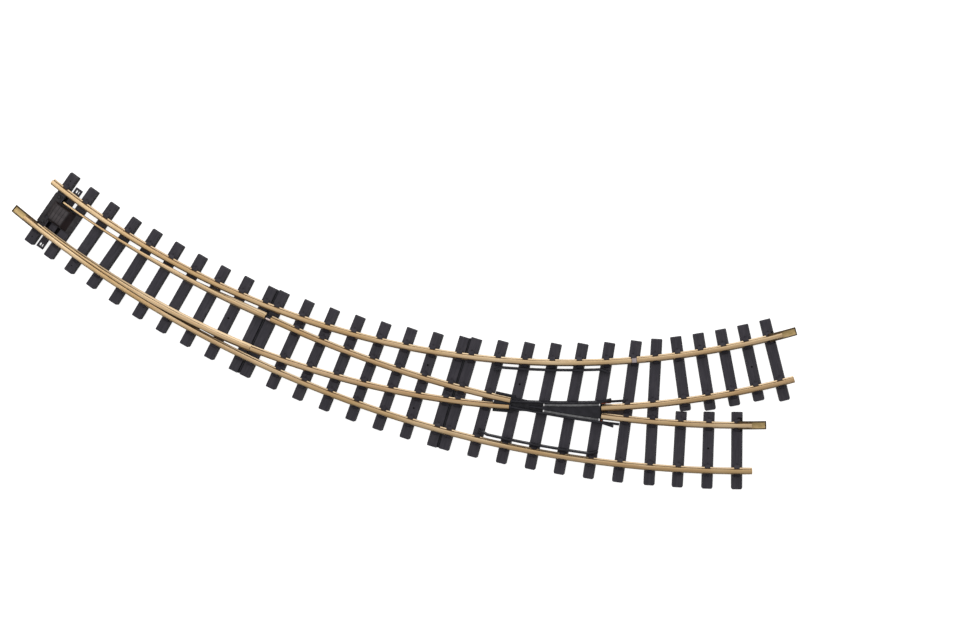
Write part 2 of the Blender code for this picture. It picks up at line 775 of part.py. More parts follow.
def cover_screw_holes(bm):
    for place in SCREW_PLACES:
        add_cylinder(bm, SCREW_SHANK_RADIUS + CLEARANCE, SLEEPER_HEIGHT - 6 * MM,
                     SLEEPER_HEIGHT + 1 * MM, MECHANISM @ Matrix.Translation(place))


def spring_post_hole(bm):
    add_cylinder(bm, POST_RADIUS + CLEARANCE, SLEEPER_HEIGHT - POST_DEPTH - CLEARANCE,
                 SLEEPER_HEIGHT + 1 * MM, MECHANISM @ Matrix.Translation((SPRING_ARM, 0, 0)))


def mechanism_base(bm):
    """Tray that ties the first two sleepers together below the throw bar."""
    spacing = TOE_STATIONS[1] - TOE_STATIONS[0]
    add_box(bm, (spacing, 2 * BASE_HALF_WIDTH, BASE_TOP - BASE_BOTTOM),
            MECHANISM @ Matrix.Translation((0, 0, BASE_BOTTOM)))


TOE_RIGHT_DEG = RAILS["right_stock_rail"].start
STRIP_CUTS = {
    "toe_sleeper_strip": (
        pivot_holes, cover_screw_holes, spring_post_hole,
        joiner_notch(OUTER, RAIL_OFFSET, TOE_RIGHT_DEG, -1)),
    "inner_exit_sleeper_strip": (joiner_notch(INNER, -RAIL_OFFSET, INNER_END_DEG, 1),),
    "outer_exit_sleeper_strip": (joiner_notch(OUTER, -RAIL_OFFSET, OUTER_END_DEG, 1),),
}


def make_sleepers():
    left = (INNER, -RAIL_OFFSET)
    right = (OUTER, RAIL_OFFSET)
    behind_bar = TOE_SLEEPERS[1:]
    make_strip("toe_sleeper_strip", TOE_SLEEPERS,
               [(*left, behind_bar), (*right, behind_bar)], mechanism_base, [(8, 0.5)])
    make_strip("middle_sleeper_strip", MIDDLE_SLEEPERS,
               [(*left, MIDDLE_SLEEPERS), (*right, MIDDLE_SLEEPERS)],
               holes=[(6, 0.3), (6, 0.71)])
    make_strip("frog_sleeper_strip", FROG_SLEEPERS,
               [(*left, FROG_SLEEPERS), (*right, FROG_SLEEPERS)], holes=[(2, 0.34)])
    make_strip("inner_exit_sleeper_strip", INNER_SLEEPERS,
               [(*left, INNER_SLEEPERS), (INNER, RAIL_OFFSET, INNER_SLEEPERS)],
               holes=[(3, 0.55)])
    make_strip("outer_exit_sleeper_strip", OUTER_SLEEPERS,
               [(OUTER, -RAIL_OFFSET, OUTER_SLEEPERS), (*right, OUTER_SLEEPERS)],
               holes=[(1, 0.47)])


# ---------------------------------------------------------------- toe mechanism

def make_throw_bar():
    """Flat bar under the rails with a slotted lug outside each of them."""
    half = LUG_SLOT_CENTRE + LUG_SLOT_WIDTH / 2 + LUG_WALL
    shift = Matrix.Translation((0, -THROW / 2, 0))
    bm = bmesh.new()
    add_box(bm, (BAR_WIDTH, 2 * half, BAR_TOP - BAR_BOTTOM), Matrix.Translation((0, 0, BAR_BOTTOM)))
    bar = link_part("throw_bar", mesh_from(bm, "throw_bar"), "sleeper_plastic")
    bar.matrix_local = MECHANISM @ shift

    cuts = bmesh.new()
    depth = BAR_TOP - BAR_BOTTOM + 2 * MM
    bottom = BAR_BOTTOM - 1 * MM
    for side in (-1, 1):
        place = Matrix.Translation((0, side * LUG_SLOT_CENTRE, bottom))
        add_box(cuts, (LUG_SLOT_LENGTH, LUG_SLOT_WIDTH, depth), place)
    for side, (rings, pin, pivot) in BLADES.items():
        angle = open_turn(pin, pivot) if side == "left" else 0.0
        local = (MECHANISM @ shift).inverted() @ swing(pin, pivot, angle)
        place = Matrix.Translation((local.x, local.y, bottom))
        add_box(cuts, (PIN_SLOT_LENGTH, PIN_SLOT_WIDTH, depth), place)
    add_box(cuts, (PIN_SLOT_LENGTH, PIN_SLOT_WIDTH, depth), Matrix.Translation((0, 0, bottom)))
    cutter = link_cutter("throw_bar_slots", mesh_from(cuts, "throw_bar_slots"))
    cutter.matrix_local = MECHANISM @ shift
    boolean(bar, cutter, "DIFFERENCE")


def make_cover():
    """Moulded cover: a flange with two ears, and a raised box with a ribbed pad, which lies
    towards the toe, and a recess in one corner."""
    bm = bmesh.new()
    spacing = TOE_STATIONS[1] - TOE_STATIONS[0]
    flange_length = spacing + SLEEPER_WIDTH - 0.6 * MM
    level = Matrix.Translation((0, 0, RAIL_BASE))
    add_box(bm, (flange_length, COVER_WIDTH + 0.6 * MM, COVER_FLANGE), level)
    cover = link_part("mechanism_cover", mesh_from(bm, "mechanism_cover"), "cover_plastic")
    cover.matrix_local = MECHANISM

    extra = bmesh.new()
    ear = Matrix.Translation(((COVER_EAR_LENGTH - flange_length) / 2, 0, 0)) @ level
    add_box(extra, (COVER_EAR_LENGTH, 2 * COVER_EAR_HALF_WIDTH, COVER_FLANGE), ear)
    taper = (COVER_PAD_LENGTH / COVER_LENGTH, COVER_PAD_WIDTH / COVER_WIDTH)
    add_box(extra, (COVER_LENGTH, COVER_WIDTH, COVER_HEIGHT), level, taper, COVER_PAD_SHIFT)
    pitch = COVER_PAD_LENGTH / COVER_RIBS
    for i in range(COVER_RIBS):
        along = (i + 0.5) * pitch - COVER_PAD_LENGTH / 2 + COVER_PAD_SHIFT
        rib = Matrix.Translation((along, 0, RAIL_BASE + COVER_HEIGHT - 0.2 * MM))
        add_box(extra, (pitch * 0.5, COVER_PAD_WIDTH - 1.5 * MM, 0.5 * MM), rib)
    blanks = link_cutter("cover_blanks", mesh_from(extra, "cover_blanks"))
    blanks.matrix_local = MECHANISM
    boolean(cover, blanks, "UNION")

    cuts = bmesh.new()
    inside = Matrix.Translation((0, 0, RAIL_BASE - 1 * MM))
    add_box(cuts, (COVER_LENGTH - 2 * COVER_WALL, COVER_WIDTH - 2 * COVER_WALL,
                   COVER_HEIGHT + 1 * MM - COVER_WALL), inside, (0.61, 0.8), COVER_PAD_SHIFT * 0.8)
    recess = Matrix.Translation(COVER_RECESS_PLACE) @ inside
    add_box(cuts, (COVER_RECESS_SIZE, COVER_RECESS_SIZE, COVER_HEIGHT + 3 * MM), recess)
    for place in SCREW_PLACES:
        add_cylinder(cuts, SCREW_SHANK_RADIUS + CLEARANCE, RAIL_BASE - 1 * MM,
                     RAIL_BASE + COVER_FLANGE + 1 * MM, Matrix.Translation(place))
    cutter = link_cutter("cover_cuts", mesh_from(cuts, "cover_cuts"))
    cutter.matrix_local = MECHANISM
    boolean(cover, cutter, "DIFFERENCE")


def make_cover_screws():
    for number, place in enumerate(SCREW_PLACES, start=1):
        bm = bmesh.new()
        seat = RAIL_BASE + COVER_FLANGE + CLEARANCE
        add_cylinder(bm, SCREW_HEAD_RADIUS, seat, seat + 0.9 * MM, Matrix.Identity(4))
        screw = link_part("cover_screw_%d" % number, mesh_from(bm, "cover_screw"), "dark_steel")
        stand = MECHANISM @ Matrix.Translation(place)
        screw.matrix_local = stand
        shank = bmesh.new()
        add_cylinder(shank, SCREW_SHANK_RADIUS, SLEEPER_HEIGHT - 5.5 * MM, seat + 0.4 * MM,
                     Matrix.Identity(4))
        shank_cutter = link_cutter("cover_screw_shank_%d" % number, mesh_from(shank, "shank"))
        shank_cutter.matrix_local = stand
        boolean(screw, shank_cutter, "UNION")
        slot = bmesh.new()
        add_box(slot, (0.6 * MM, 5 * MM, 1 * MM), Matrix.Translation((0, 0, seat + 0.5 * MM)))
        slot_cutter = link_cutter("cover_screw_slot_%d" % number, mesh_from(slot, "slot"))
        slot_cutter.matrix_local = stand @ heading(35)
        boolean(screw, slot_cutter, "DIFFERENCE")


def spring_loop():
    """Long wire loop around the post, pinched at its waist and open towards the bar."""
    reach = THROW / 2 + CLEARANCE / 2
    arc_steps = 6
    turns = [pi * i / arc_steps for i in range(arc_steps + 1)]
    radius = SPRING_LOOP_RADIUS
    far_arc = [Vector((-radius * cos(turn), -reach - radius * sin(turn), 0)) for turn in turns]
    near_arc = [Vector((radius * cos(turn), reach + radius * sin(turn), 0)) for turn in turns]
    waist = [Vector((SPRING_WAIST, 0, 0))]
    free_end = [Vector((-SPRING_WAIST, -SPRING_TAIL_GAP, 0))]
    return free_end + far_arc + waist + near_arc + [Vector((-radius, SPRING_TAIL_GAP, 0))]


def make_snap_spring():
    """Wire spring hooked into the throw bar. Its loop runs over a post and holds the bar
    at either end of its throw."""
    path = [point + Vector((SPRING_ARM, 0, SPRING_LEVEL)) for point in spring_loop()]
    tail = Vector((0, 0, SPRING_LEVEL))
    path.append(Vector((SPRING_ARM - 2 * SPRING_LOOP_RADIUS, 0.1 * MM, SPRING_LEVEL)))
    path.append(tail + Vector((0.8 * MM, 0, 0)))
    path.append(tail + Vector((0.2 * MM, 0, -0.3 * MM)))
    path.append(tail + Vector((0, 0, -1 * MM)))
    path.append(Vector((0, 0, BAR_BOTTOM + 0.6 * MM)))
    mesh = wire("snap_spring", path, SPRING_WIRE_RADIUS)
    spring = link_part("snap_spring", mesh, "bright_steel", smooth=True)
    spring.matrix_local = MECHANISM @ Matrix.Translation((0, -THROW / 2, 0))

    bm = bmesh.new()
    add_cylinder(bm, POST_RADIUS, SLEEPER_HEIGHT - POST_DEPTH, SPRING_LEVEL + 1 * MM,
                 Matrix.Identity(4))
    peg = link_part("spring_post", mesh_from(bm, "spring_post"), "bright_steel", smooth=True)
    peg.matrix_local = MECHANISM @ Matrix.Translation((SPRING_ARM, 0, 0))


# ---------------------------------------------------------------- frog

def plate_section(width, bottom, top):
    half = width / 2
    return [(half, bottom), (half, top), (-half, top), (-half, bottom)]


def wing_paths():
    """Each wing follows the rail ahead of it, bends at the knuckle and runs beside the
    nose, and its end flares away from the flangeway."""
    beside = HEAD_WIDTH / 2 + FLANGEWAY + WING_WIDTH / 2
    paths = []
    for own, own_offset, own_start, other, other_offset, side, end in (
            (OUTER, -RAIL_OFFSET, FROG_START_OUTER_DEG, INNER, RAIL_OFFSET, -1,
             FROG_END_INNER_DEG),
            (INNER, RAIL_OFFSET, FROG_START_INNER_DEG, OUTER, -RAIL_OFFSET, 1,
             FROG_END_OUTER_DEG)):
        knuckle = meeting(own, own_offset, other, other_offset + side * beside)
        own_knuckle = polar(own, knuckle)[0]
        other_knuckle = polar(other, knuckle)[0]
        run_in = arc_path(own, own_offset, own_start, own_knuckle)[:-1]
        run_out = arc_path(other, other_offset + side * beside, other_knuckle, end, 12 * MM)
        tip = on_arc(other, other_offset + side * (beside + WING_FLARE), end + WING_END_DEG)
        paths.append((run_in, run_out + [tip]))
    return paths


def meeting(first, first_offset, second, second_offset):
    """Crossing of an arc of one route with an arc of the other."""
    r1 = first.radius + first_offset
    r2 = second.radius + second_offset
    y = (r1 ** 2 - r2 ** 2 - first.radius ** 2 + second.radius ** 2)
    y /= 2 * (second.radius - first.radius)
    x = sqrt(r1 ** 2 - (y - first.radius) ** 2)
    return Vector((x, y, 0))


def nose_outline():
    """Wedge between the two running edges, from its blunt point to the exit rails."""
    face = HEAD_WIDTH / 2
    left_end = FROG_END_INNER_DEG
    right_end = FROG_END_OUTER_DEG
    point = meeting(INNER, RAIL_OFFSET - face + NOSE_WIDTH / 2, OUTER, -RAIL_OFFSET + face
                    - NOSE_WIDTH / 2)
    left = arc_path(INNER, RAIL_OFFSET - face, polar(INNER, point)[0], left_end, 12 * MM)
    right = arc_path(OUTER, -RAIL_OFFSET + face, polar(OUTER, point)[0], right_end, 12 * MM)
    return left + list(reversed(right))


def floor_outline():
    """Plate under the wings, the flangeways and the nose."""
    reach = FOOT_WIDTH / 2
    beside = HEAD_WIDTH / 2 + FLANGEWAY + WING_WIDTH + 0.6 * MM
    left_knuckle = meeting(OUTER, -RAIL_OFFSET - reach, INNER, RAIL_OFFSET - beside)
    right_knuckle = meeting(INNER, RAIL_OFFSET + reach, OUTER, -RAIL_OFFSET + beside)
    left = arc_path(OUTER, -RAIL_OFFSET - reach, FROG_START_OUTER_DEG,
                    polar(OUTER, left_knuckle)[0])
    left += arc_path(INNER, RAIL_OFFSET - beside, polar(INNER, left_knuckle)[0],
                     FROG_END_INNER_DEG)[1:]
    right = arc_path(INNER, RAIL_OFFSET + reach, FROG_START_INNER_DEG,
                     polar(INNER, right_knuckle)[0])
    right += arc_path(OUTER, -RAIL_OFFSET + beside, polar(OUTER, right_knuckle)[0],
                      FROG_END_OUTER_DEG)[1:]
    return left + list(reversed(right))


def make_frog():
    floor_top = RAIL_BASE + FROG_FLOOR
    frog = link_part("frog_casting", flat_outline("frog", floor_outline(), RAIL_BASE, floor_top),
                     "black_plastic")
    blanks = bmesh.new()
    low = RAIL_BASE + 1 * MM
    for run_in, run_out in wing_paths():
        head = plate_section(HEAD_WIDTH, low, RAIL_TOP)
        wing = plate_section(WING_WIDTH, low, RAIL_TOP - 0.1 * MM)
        join(blanks, sweep("frog_run_in", run_in + run_out[:1], head))
        join(blanks, sweep("frog_wing", run_out, wing))
    join(blanks, flat_outline("frog_nose", nose_outline(), low, RAIL_TOP - 0.2 * MM))
    boolean(frog, link_cutter("frog_blanks", mesh_from(blanks, "frog_blanks")), "UNION")

    middle = (HEAD_WIDTH + FLANGEWAY) / 2
    bottom = floor_top + CLEARANCE
    section = plate_section(STRIP_WIDTH, bottom, bottom + STRIP_HEIGHT)
    for name, route, offset, start, end in (
            ("frog_left_running_strip", INNER, RAIL_OFFSET - middle, 37.7, FROG_END_INNER_DEG),
            ("frog_right_running_strip", OUTER, -RAIL_OFFSET + middle, 28.93,
             FROG_END_OUTER_DEG)):
        link_part(name, sweep(name, arc_path(route, offset, start, end, 12 * MM), section),
                  "dark_steel")


def make_feed_strips():
    """Copper strips that bring current past the frog to the exit rails."""
    low = RAIL_BASE + 0.1 * MM
    section = plate_section(1.2 * MM, low, low + 0.8 * MM)
    reach = FOOT_WIDTH / 2 + CLEARANCE + 0.6 * MM
    for name, route, offset, start in (
            ("inner_exit_feed_strip", INNER, RAIL_OFFSET - reach, FROG_END_INNER_DEG),
            ("outer_exit_feed_strip", OUTER, -RAIL_OFFSET + reach, FROG_END_OUTER_DEG)):
        near = start + arc_degrees(route, offset, 2 * CLEARANCE)
        far = start + arc_degrees(route, offset, 11 * MM)
        link_part(name, sweep(name, arc_path(route, offset, near, far, 4 * MM), section),
                  "copper")


def make_guard_rails():
    """Guard rails hold the wheels away from the frog's nose. Their ends flare open."""
    base = RAIL_BASE
    half = GUARD_WIDTH / 2
    foot = GUARD_FOOT_WIDTH / 2
    step = base + GUARD_FOOT_HEIGHT
    section = [(foot, base), (foot, step), (half, step), (half, RAIL_TOP), (-half, RAIL_TOP),
               (-half, step), (-foot, step), (-foot, base)]
    for name, route, offset, side, start, end in (
            ("left_guard_rail", INNER, -RAIL_OFFSET, 1, GUARD_INNER_START, GUARD_INNER_END),
            ("right_guard_rail", OUTER, RAIL_OFFSET, -1, GUARD_OUTER_START, GUARD_OUTER_END)):
        beside = offset + side * GUARD_OFFSET
        flared = offset + side * (GUARD_OFFSET + GUARD_FLARE)
        path = [on_arc(route, flared, start - GUARD_FLARE_DEG)]
        path += arc_path(route, beside, start, end, 15 * MM)
        path.append(on_arc(route, flared, end + GUARD_FLARE_DEG))
        link_part(name, sweep(name, path, section), "black_plastic")


# ---------------------------------------------------------------- rail joiners

def joiner_section():
    """Folded sheet that grips a rail's foot from below."""
    outer = JOINER_HALF_WIDTH
    inner = outer - JOINER_SIDE
    floor = JOINER_BOTTOM + JOINER_SIDE
    lip = JOINER_TOP - 0.65 * MM
    half = [(outer, JOINER_BOTTOM), (outer, JOINER_TOP), (JOINER_LIP, JOINER_TOP),
            (JOINER_LIP, lip), (inner, lip), (inner, floor)]
    return half + [(-offset, height) for offset, height in reversed(half)]


def make_joiners():
    for name, route, offset, end in (
            ("toe_rail_joiner", OUTER, RAIL_OFFSET, TOE_RIGHT_DEG),
            ("inner_exit_rail_joiner", INNER, -RAIL_OFFSET, INNER_END_DEG),
            ("outer_exit_rail_joiner", OUTER, -RAIL_OFFSET, OUTER_END_DEG)):
        half = arc_degrees(route, offset, JOINER_LENGTH / 2)
        path = arc_path(route, offset, end - half, end + half, 10 * MM)
        link_part(name, sweep(name, path, joiner_section()), "brass")


# ---------------------------------------------------------------- placing the part

def centre_on_origin():
    """Move the whole part so that the origin is the middle of its underside."""
    bpy.context.view_layer.update()
    depsgraph = bpy.context.evaluated_depsgraph_get()
    corners = []
    for item in PARTS.objects:
        if item.type == "MESH":
            evaluated = item.evaluated_get(depsgraph)
            corners += [item.matrix_world @ vert.co for vert in evaluated.data.vertices]
    low = Vector([min(corner[axis] for corner in corners) for axis in range(3)])
    high = Vector([max(corner[axis] for corner in corners) for axis in range(3)])
    ROOT.location = (-(low.x + high.x) / 2, -(low.y + high.y) / 2, -low.z)


make_rails()
make_insulator()
make_blades()
make_heel_clips()
make_sleepers()
make_throw_bar()
make_cover()
make_cover_screws()
make_snap_spring()
make_frog()
make_feed_strips()
make_guard_rails()
make_joiners()
centre_on_origin()
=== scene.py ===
"""Looks of the curved turnout.

Brass rails, moulded sleepers, the toe mechanism, the frog and the guard rails are built
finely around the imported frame, from the same plan geometry. Lengths are in metres. X runs
along the track at the toe, +Y is the inside of both curves, +Z is up.
"""

import json
from collections import namedtuple
from math import atan2, cos, pi, radians, sin, sqrt

import bmesh
import bpy
from mathutils import Matrix, Vector, noise


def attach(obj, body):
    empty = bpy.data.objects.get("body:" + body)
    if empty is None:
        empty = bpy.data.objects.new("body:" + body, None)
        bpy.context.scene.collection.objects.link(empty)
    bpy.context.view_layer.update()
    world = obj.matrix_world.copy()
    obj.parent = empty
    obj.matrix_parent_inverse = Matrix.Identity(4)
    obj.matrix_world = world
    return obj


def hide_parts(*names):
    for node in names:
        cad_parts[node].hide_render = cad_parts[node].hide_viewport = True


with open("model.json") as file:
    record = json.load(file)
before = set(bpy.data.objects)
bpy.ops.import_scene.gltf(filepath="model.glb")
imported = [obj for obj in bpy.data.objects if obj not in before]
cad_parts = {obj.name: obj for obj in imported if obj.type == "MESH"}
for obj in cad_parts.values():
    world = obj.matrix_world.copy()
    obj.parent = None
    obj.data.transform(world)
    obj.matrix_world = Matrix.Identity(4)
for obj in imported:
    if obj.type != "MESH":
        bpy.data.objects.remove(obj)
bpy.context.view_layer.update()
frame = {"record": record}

MM = 0.001

# Track
GAUGE = 45 * MM
INNER_RADIUS = 921.5 * MM
OUTER_RADIUS = 1220 * MM
TOE_END_DEG = 0.5
INNER_END_DEG = 54.3
OUTER_END_DEG = 39.8

# Rail section
RAIL_HEIGHT = 8.3 * MM
HEAD_WIDTH = 4.6 * MM
FOOT_WIDTH = 8.3 * MM
RAIL_FOOT_WIDTH = 7.6 * MM
WEB_WIDTH = 1.6 * MM
FOOT_EDGE = 0.9 * MM
FOOT_CROWN = 1.8 * MM
HEAD_UNDERSIDE = 5.4 * MM
HEAD_SHOULDER = 6.2 * MM
RAIL_OFFSET = (GAUGE + HEAD_WIDTH) / 2
RAIL_STEP = 8 * MM
END_BEVEL = 0.15 * MM

# Sleepers
SLEEPER_HEIGHT = 10.5 * MM
SLEEPER_WIDTH = 12.4 * MM
SLEEPER_DRAFT = 0.865
SLEEPER_END = 45 * MM
SLEEPER_CORNER = 1 * MM
PAIRED_CORNER = 0.35 * MM
SLEEPER_EDGE = 0.5 * MM
SLEEPER_WALL = 1.5 * MM
SLEEPER_ROOF = 1.9 * MM
SLEEPER_RIB_PITCH = 22 * MM
SLEEPER_RIB = 1.4 * MM
GRAIN_DEPTH = 0.1 * MM
GRAIN_STEP = 3 * MM
TOP_POINTS = 12
WEB_STRIP_WIDTH = 5 * MM
WEB_STRIP_BOTTOM = 1.5 * MM
WEB_STRIP_TOP = 6.5 * MM
CHAIR_LENGTH = 6.2 * MM
CHAIR_WIDTH = 2.8 * MM
CHAIR_ROOM = 6.2 * MM
BOLT_REACH = 7.9 * MM
BOLT_ROOM = 6.5 * MM
TIE_PLATE_HALF_WIDTH = 5 * MM
TIE_PLATE_HALF_LENGTH = 4.2 * MM
SHADE_PILLAR_RADIUS = 2.3 * MM
END_MARGIN = 6 * MM
SCREW_HOLE_RADIUS = 1 * MM
DIMPLE_RADIUS = 0.75 * MM
DIMPLE_DEPTH = 0.35 * MM
DIMPLE_INSET = 8 * MM

CLEARANCE = 0.3 * MM
RAIL_BASE = SLEEPER_HEIGHT + CLEARANCE
RAIL_TOP = RAIL_BASE + RAIL_HEIGHT
END_MOUNT_HEIGHT = 7 * MM

# Toe mechanism
MECHANISM_TURN_DEG = 3.8
TOE_STATIONS = (25 * MM, 51.5 * MM, 79 * MM, 108 * MM)
THROW = 6.3 * MM
BAR_WIDTH = 8.4 * MM
BAR_BOTTOM = 6.2 * MM
BAR_TOP = 9.8 * MM
LUG_SLOT_CENTRE = 35 * MM
LUG_SLOT_LENGTH = 4.2 * MM
LUG_SLOT_WIDTH = 3.5 * MM
LUG_WALL = 2.25 * MM
LUG_DIVIDER = 1.4 * MM
PIN_RADIUS = 0.9 * MM
PIN_SLOT_LENGTH = 3.8 * MM
PIN_SLOT_WIDTH = 2.6 * MM
BASE_BOTTOM = 0.6 * MM
BASE_TOP = 4.6 * MM
COVER_LENGTH = 30.5 * MM
COVER_WIDTH = 22.8 * MM
COVER_PAD_LENGTH = 16.7 * MM
COVER_PAD_WIDTH = 19 * MM
COVER_PAD_SHIFT = -1.7 * MM
COVER_EAR_LENGTH = 9.2 * MM
COVER_RECESS_SIZE = 4.5 * MM
COVER_RECESS_PLACE = Vector((-11.75 * MM, -9.35 * MM, 0))
COVER_FLANGE = 0.9 * MM
COVER_EAR_HALF_WIDTH = 18.6 * MM
COVER_HEIGHT = 5.2 * MM
COVER_WALL = 1 * MM
COVER_RIBS = 4
SPRING_ARM = 8.5 * MM
SPRING_WIRE_RADIUS = 0.4 * MM
SPRING_LOOP_RADIUS = 1.6 * MM
SPRING_WAIST = 1.5 * MM
SPRING_TAIL_GAP = 0.7 * MM
SPRING_LEVEL = 11.6 * MM
POST_RADIUS = 0.8 * MM
POST_DEPTH = 4 * MM
SCREW_HEAD_RADIUS = 1.9 * MM
SCREW_PLACES = (Vector((-13.2 * MM, 16 * MM, 0)), Vector((-13.2 * MM, -16 * MM, 0)))

# Switch blades
TIP_STATION = 31 * MM
TIP_THICKNESS = 1.3 * MM
BLADE_EXTRA = 1 * MM
TIP_DROP = 1.1 * MM
TIP_TAPER_LENGTH = 0.1
BLADE_RINGS = 64
HEEL_GAP = 0.5 * MM
HEEL_TONGUE_LENGTH = 6 * MM
PIVOT_SETBACK = 4 * MM
PIVOT_RADIUS = 0.8 * MM
PIVOT_DEPTH = 1.2 * MM

# Frog and guard rails
FLANGEWAY = 3 * MM
WING_WIDTH = 2.2 * MM
FROG_START_OUTER_DEG = 27.2
FROG_START_INNER_DEG = 35.5
FROG_END_OUTER_DEG = 31.95
FROG_END_INNER_DEG = 41.5
WING_END_DEG = 0.72
WING_FLARE = 3 * MM
FROG_FLOOR = 2.4 * MM
NOSE_WIDTH = 1 * MM
STRIP_WIDTH = 3.2 * MM
STRIP_HEIGHT = 2.4 * MM
GUARD_OFFSET = 7.8 * MM
GUARD_WIDTH = 2.2 * MM
GUARD_FOOT_WIDTH = 2.8 * MM
GUARD_FOOT_HEIGHT = 1.2 * MM
GUARD_FLARE = 3.6 * MM
GUARD_FLARE_DEG = 0.5
GUARD_INNER = (34.8, 41.7)
GUARD_OUTER = (26.4, 31.55)
FROG_STRIP_INNER_DEG = 37.7
FROG_STRIP_OUTER_DEG = 28.93
STRIP_CAP_LENGTH = 2.2 * MM
FEED_INNER_LENGTH = 11 * MM
FEED_OUTER_LENGTH = 2.5 * MM
INSULATOR_DEG = 43.95
INSULATOR_LENGTH = 5 * MM

# Rail joiners
JOINER_LENGTH = 31 * MM
JOINER_HALF_WIDTH = 4.45 * MM
JOINER_SIDE = 0.5 * MM
JOINER_LIP = 2.9 * MM
JOINER_BOTTOM = 9.7 * MM
JOINER_TOP = 13 * MM
NOTCH_HALF_WIDTH = 5.8 * MM
NOTCH_BOTTOM = 9.3 * MM
NOTCH_LENGTH = 20 * MM

# Meshes
CRISP_DEG = 38
WELD_DISTANCE = 0.002 * MM

# Shifts along the brass pattern: one step per rail, and one shift for both blades
RAIL_SHIFT = 3.0
BLADE_SHIFT = 30

Route = namedtuple("Route", "radius")
Rail = namedtuple("Rail", "route offset start end")
Sleeper = namedtuple("Sleeper", "left right")
Blade = namedtuple("Blade", "rings marks pin pivot")

INNER = Route(INNER_RADIUS)
OUTER = Route(OUTER_RADIUS)
TRACK = "track_bed"


# ---------------------------------------------------------------- plan geometry

def on_arc(route, offset, degrees, height=0.0):
    """Point on a route's arc. A positive offset lies outside the curve."""
    angle = radians(degrees)
    radius = route.radius + offset
    return Vector((radius * sin(angle), route.radius - radius * cos(angle), height))


def arc_path(route, offset, start, end, step=RAIL_STEP):
    """Evenly spaced points along an arc, both ends included."""
    length = radians(end - start) * (route.radius + offset)
    count = max(2, round(length / step))
    return [on_arc(route, offset, start + (end - start) * i / count) for i in range(count + 1)]


def arc_degrees(route, offset, length):
    """Angle that a length takes up on an arc."""
    return length / (route.radius + offset) * 180 / pi


def polar(route, point):
    """Angle in degrees and radial offset of a point about a route's centre."""
    x = point.x
    y = route.radius - point.y
    return atan2(x, y) * 180 / pi, sqrt(x * x + y * y) - route.radius


def cross_line(route, offset, first, second):
    """Where the straight line from first to second meets an arc."""
    centre = Vector((0, route.radius, 0))
    along = (second - first).normalized()
    nearest = first + along * (centre - first).dot(along)
    radius = route.radius + offset
    half_chord = sqrt(radius ** 2 - (nearest - centre).length ** 2)
    hits = (nearest - along * half_chord, nearest + along * half_chord)
    middle = (first + second) / 2
    return min(hits, key=lambda hit: (hit - middle).length)


def gap_to(route, other, other_offset, offset, degrees):
    """Distance along a route's radius from one arc out to an arc of another route."""
    start = on_arc(route, offset, degrees)
    centre = Vector((0, route.radius, 0))
    hit = cross_line(other, other_offset, centre, start)
    return (hit - centre).length - (route.radius + offset)


def meeting(first, first_offset, second, second_offset):
    """Crossing of an arc of one route with an arc of the other."""
    r1 = first.radius + first_offset
    r2 = second.radius + second_offset
    y = r1 ** 2 - r2 ** 2 - first.radius ** 2 + second.radius ** 2
    y /= 2 * (second.radius - first.radius)
    x = sqrt(r1 ** 2 - (y - first.radius) ** 2)
    return Vector((x, y, 0))


def heading(degrees):
    """Turn about the vertical."""
    return Matrix.Rotation(radians(degrees), 4, "Z")


def placed(point, degrees, height=0.0):
    """Frame at a point, turned to a heading, at a height."""
    return Matrix.Translation((point.x, point.y, height)) @ heading(degrees)


# ---------------------------------------------------------------- sleeper layout

def parallel_sleepers():
    """The sleepers at the toe are parallel, so that the mechanism sits square on them."""
    across = heading(MECHANISM_TURN_DEG) @ Vector((0, SLEEPER_END, 0))
    mean_curvature = (1 / INNER_RADIUS + 1 / OUTER_RADIUS) / 2
    middles = [Vector((station, station ** 2 * mean_curvature / 2, 0)) for station in TOE_STATIONS]
    return [Sleeper(middle + across, middle - across) for middle in middles]


def fan_sleepers(count, left_start, left_pitch, right_start, right_pitch):
    """Long sleepers under both routes, each end at its own pitch."""
    return [
        Sleeper(
            on_arc(INNER, -SLEEPER_END, left_start + left_pitch * i),
            on_arc(OUTER, SLEEPER_END, right_start + right_pitch * i),
        )
        for i in range(count)
    ]


def radial_sleepers(route, start, pitch, left_ends, right_ends):
    """Short sleepers square to one route."""
    ends = zip(left_ends, right_ends)
    return [
        Sleeper(on_arc(route, -left, start + pitch * i), on_arc(route, right, start + pitch * i))
        for i, (left, right) in enumerate(ends)
    ]


TOE_SLEEPERS = parallel_sleepers() + fan_sleepers(6, 8.59, 1.845, 6.41, 1.375)
MIDDLE_SLEEPERS = fan_sleepers(8, 18.68, 1.9, 13.9, 1.42)
FROG_SLEEPERS = fan_sleepers(7, 32.84, 1.893, 24.44, 1.455) + fan_sleepers(1, 45.64, 0, 34.73, 0)
INNER_SLEEPERS = radial_sleepers(
    INNER, 46.98, 1.6, [SLEEPER_END] * 5, [36 * MM, 39 * MM, 39 * MM, 39 * MM, SLEEPER_END])
OUTER_SLEEPERS = radial_sleepers(
    OUTER, 36.12, 1.46, [37 * MM, 38 * MM, 38.5 * MM], [SLEEPER_END] * 3)

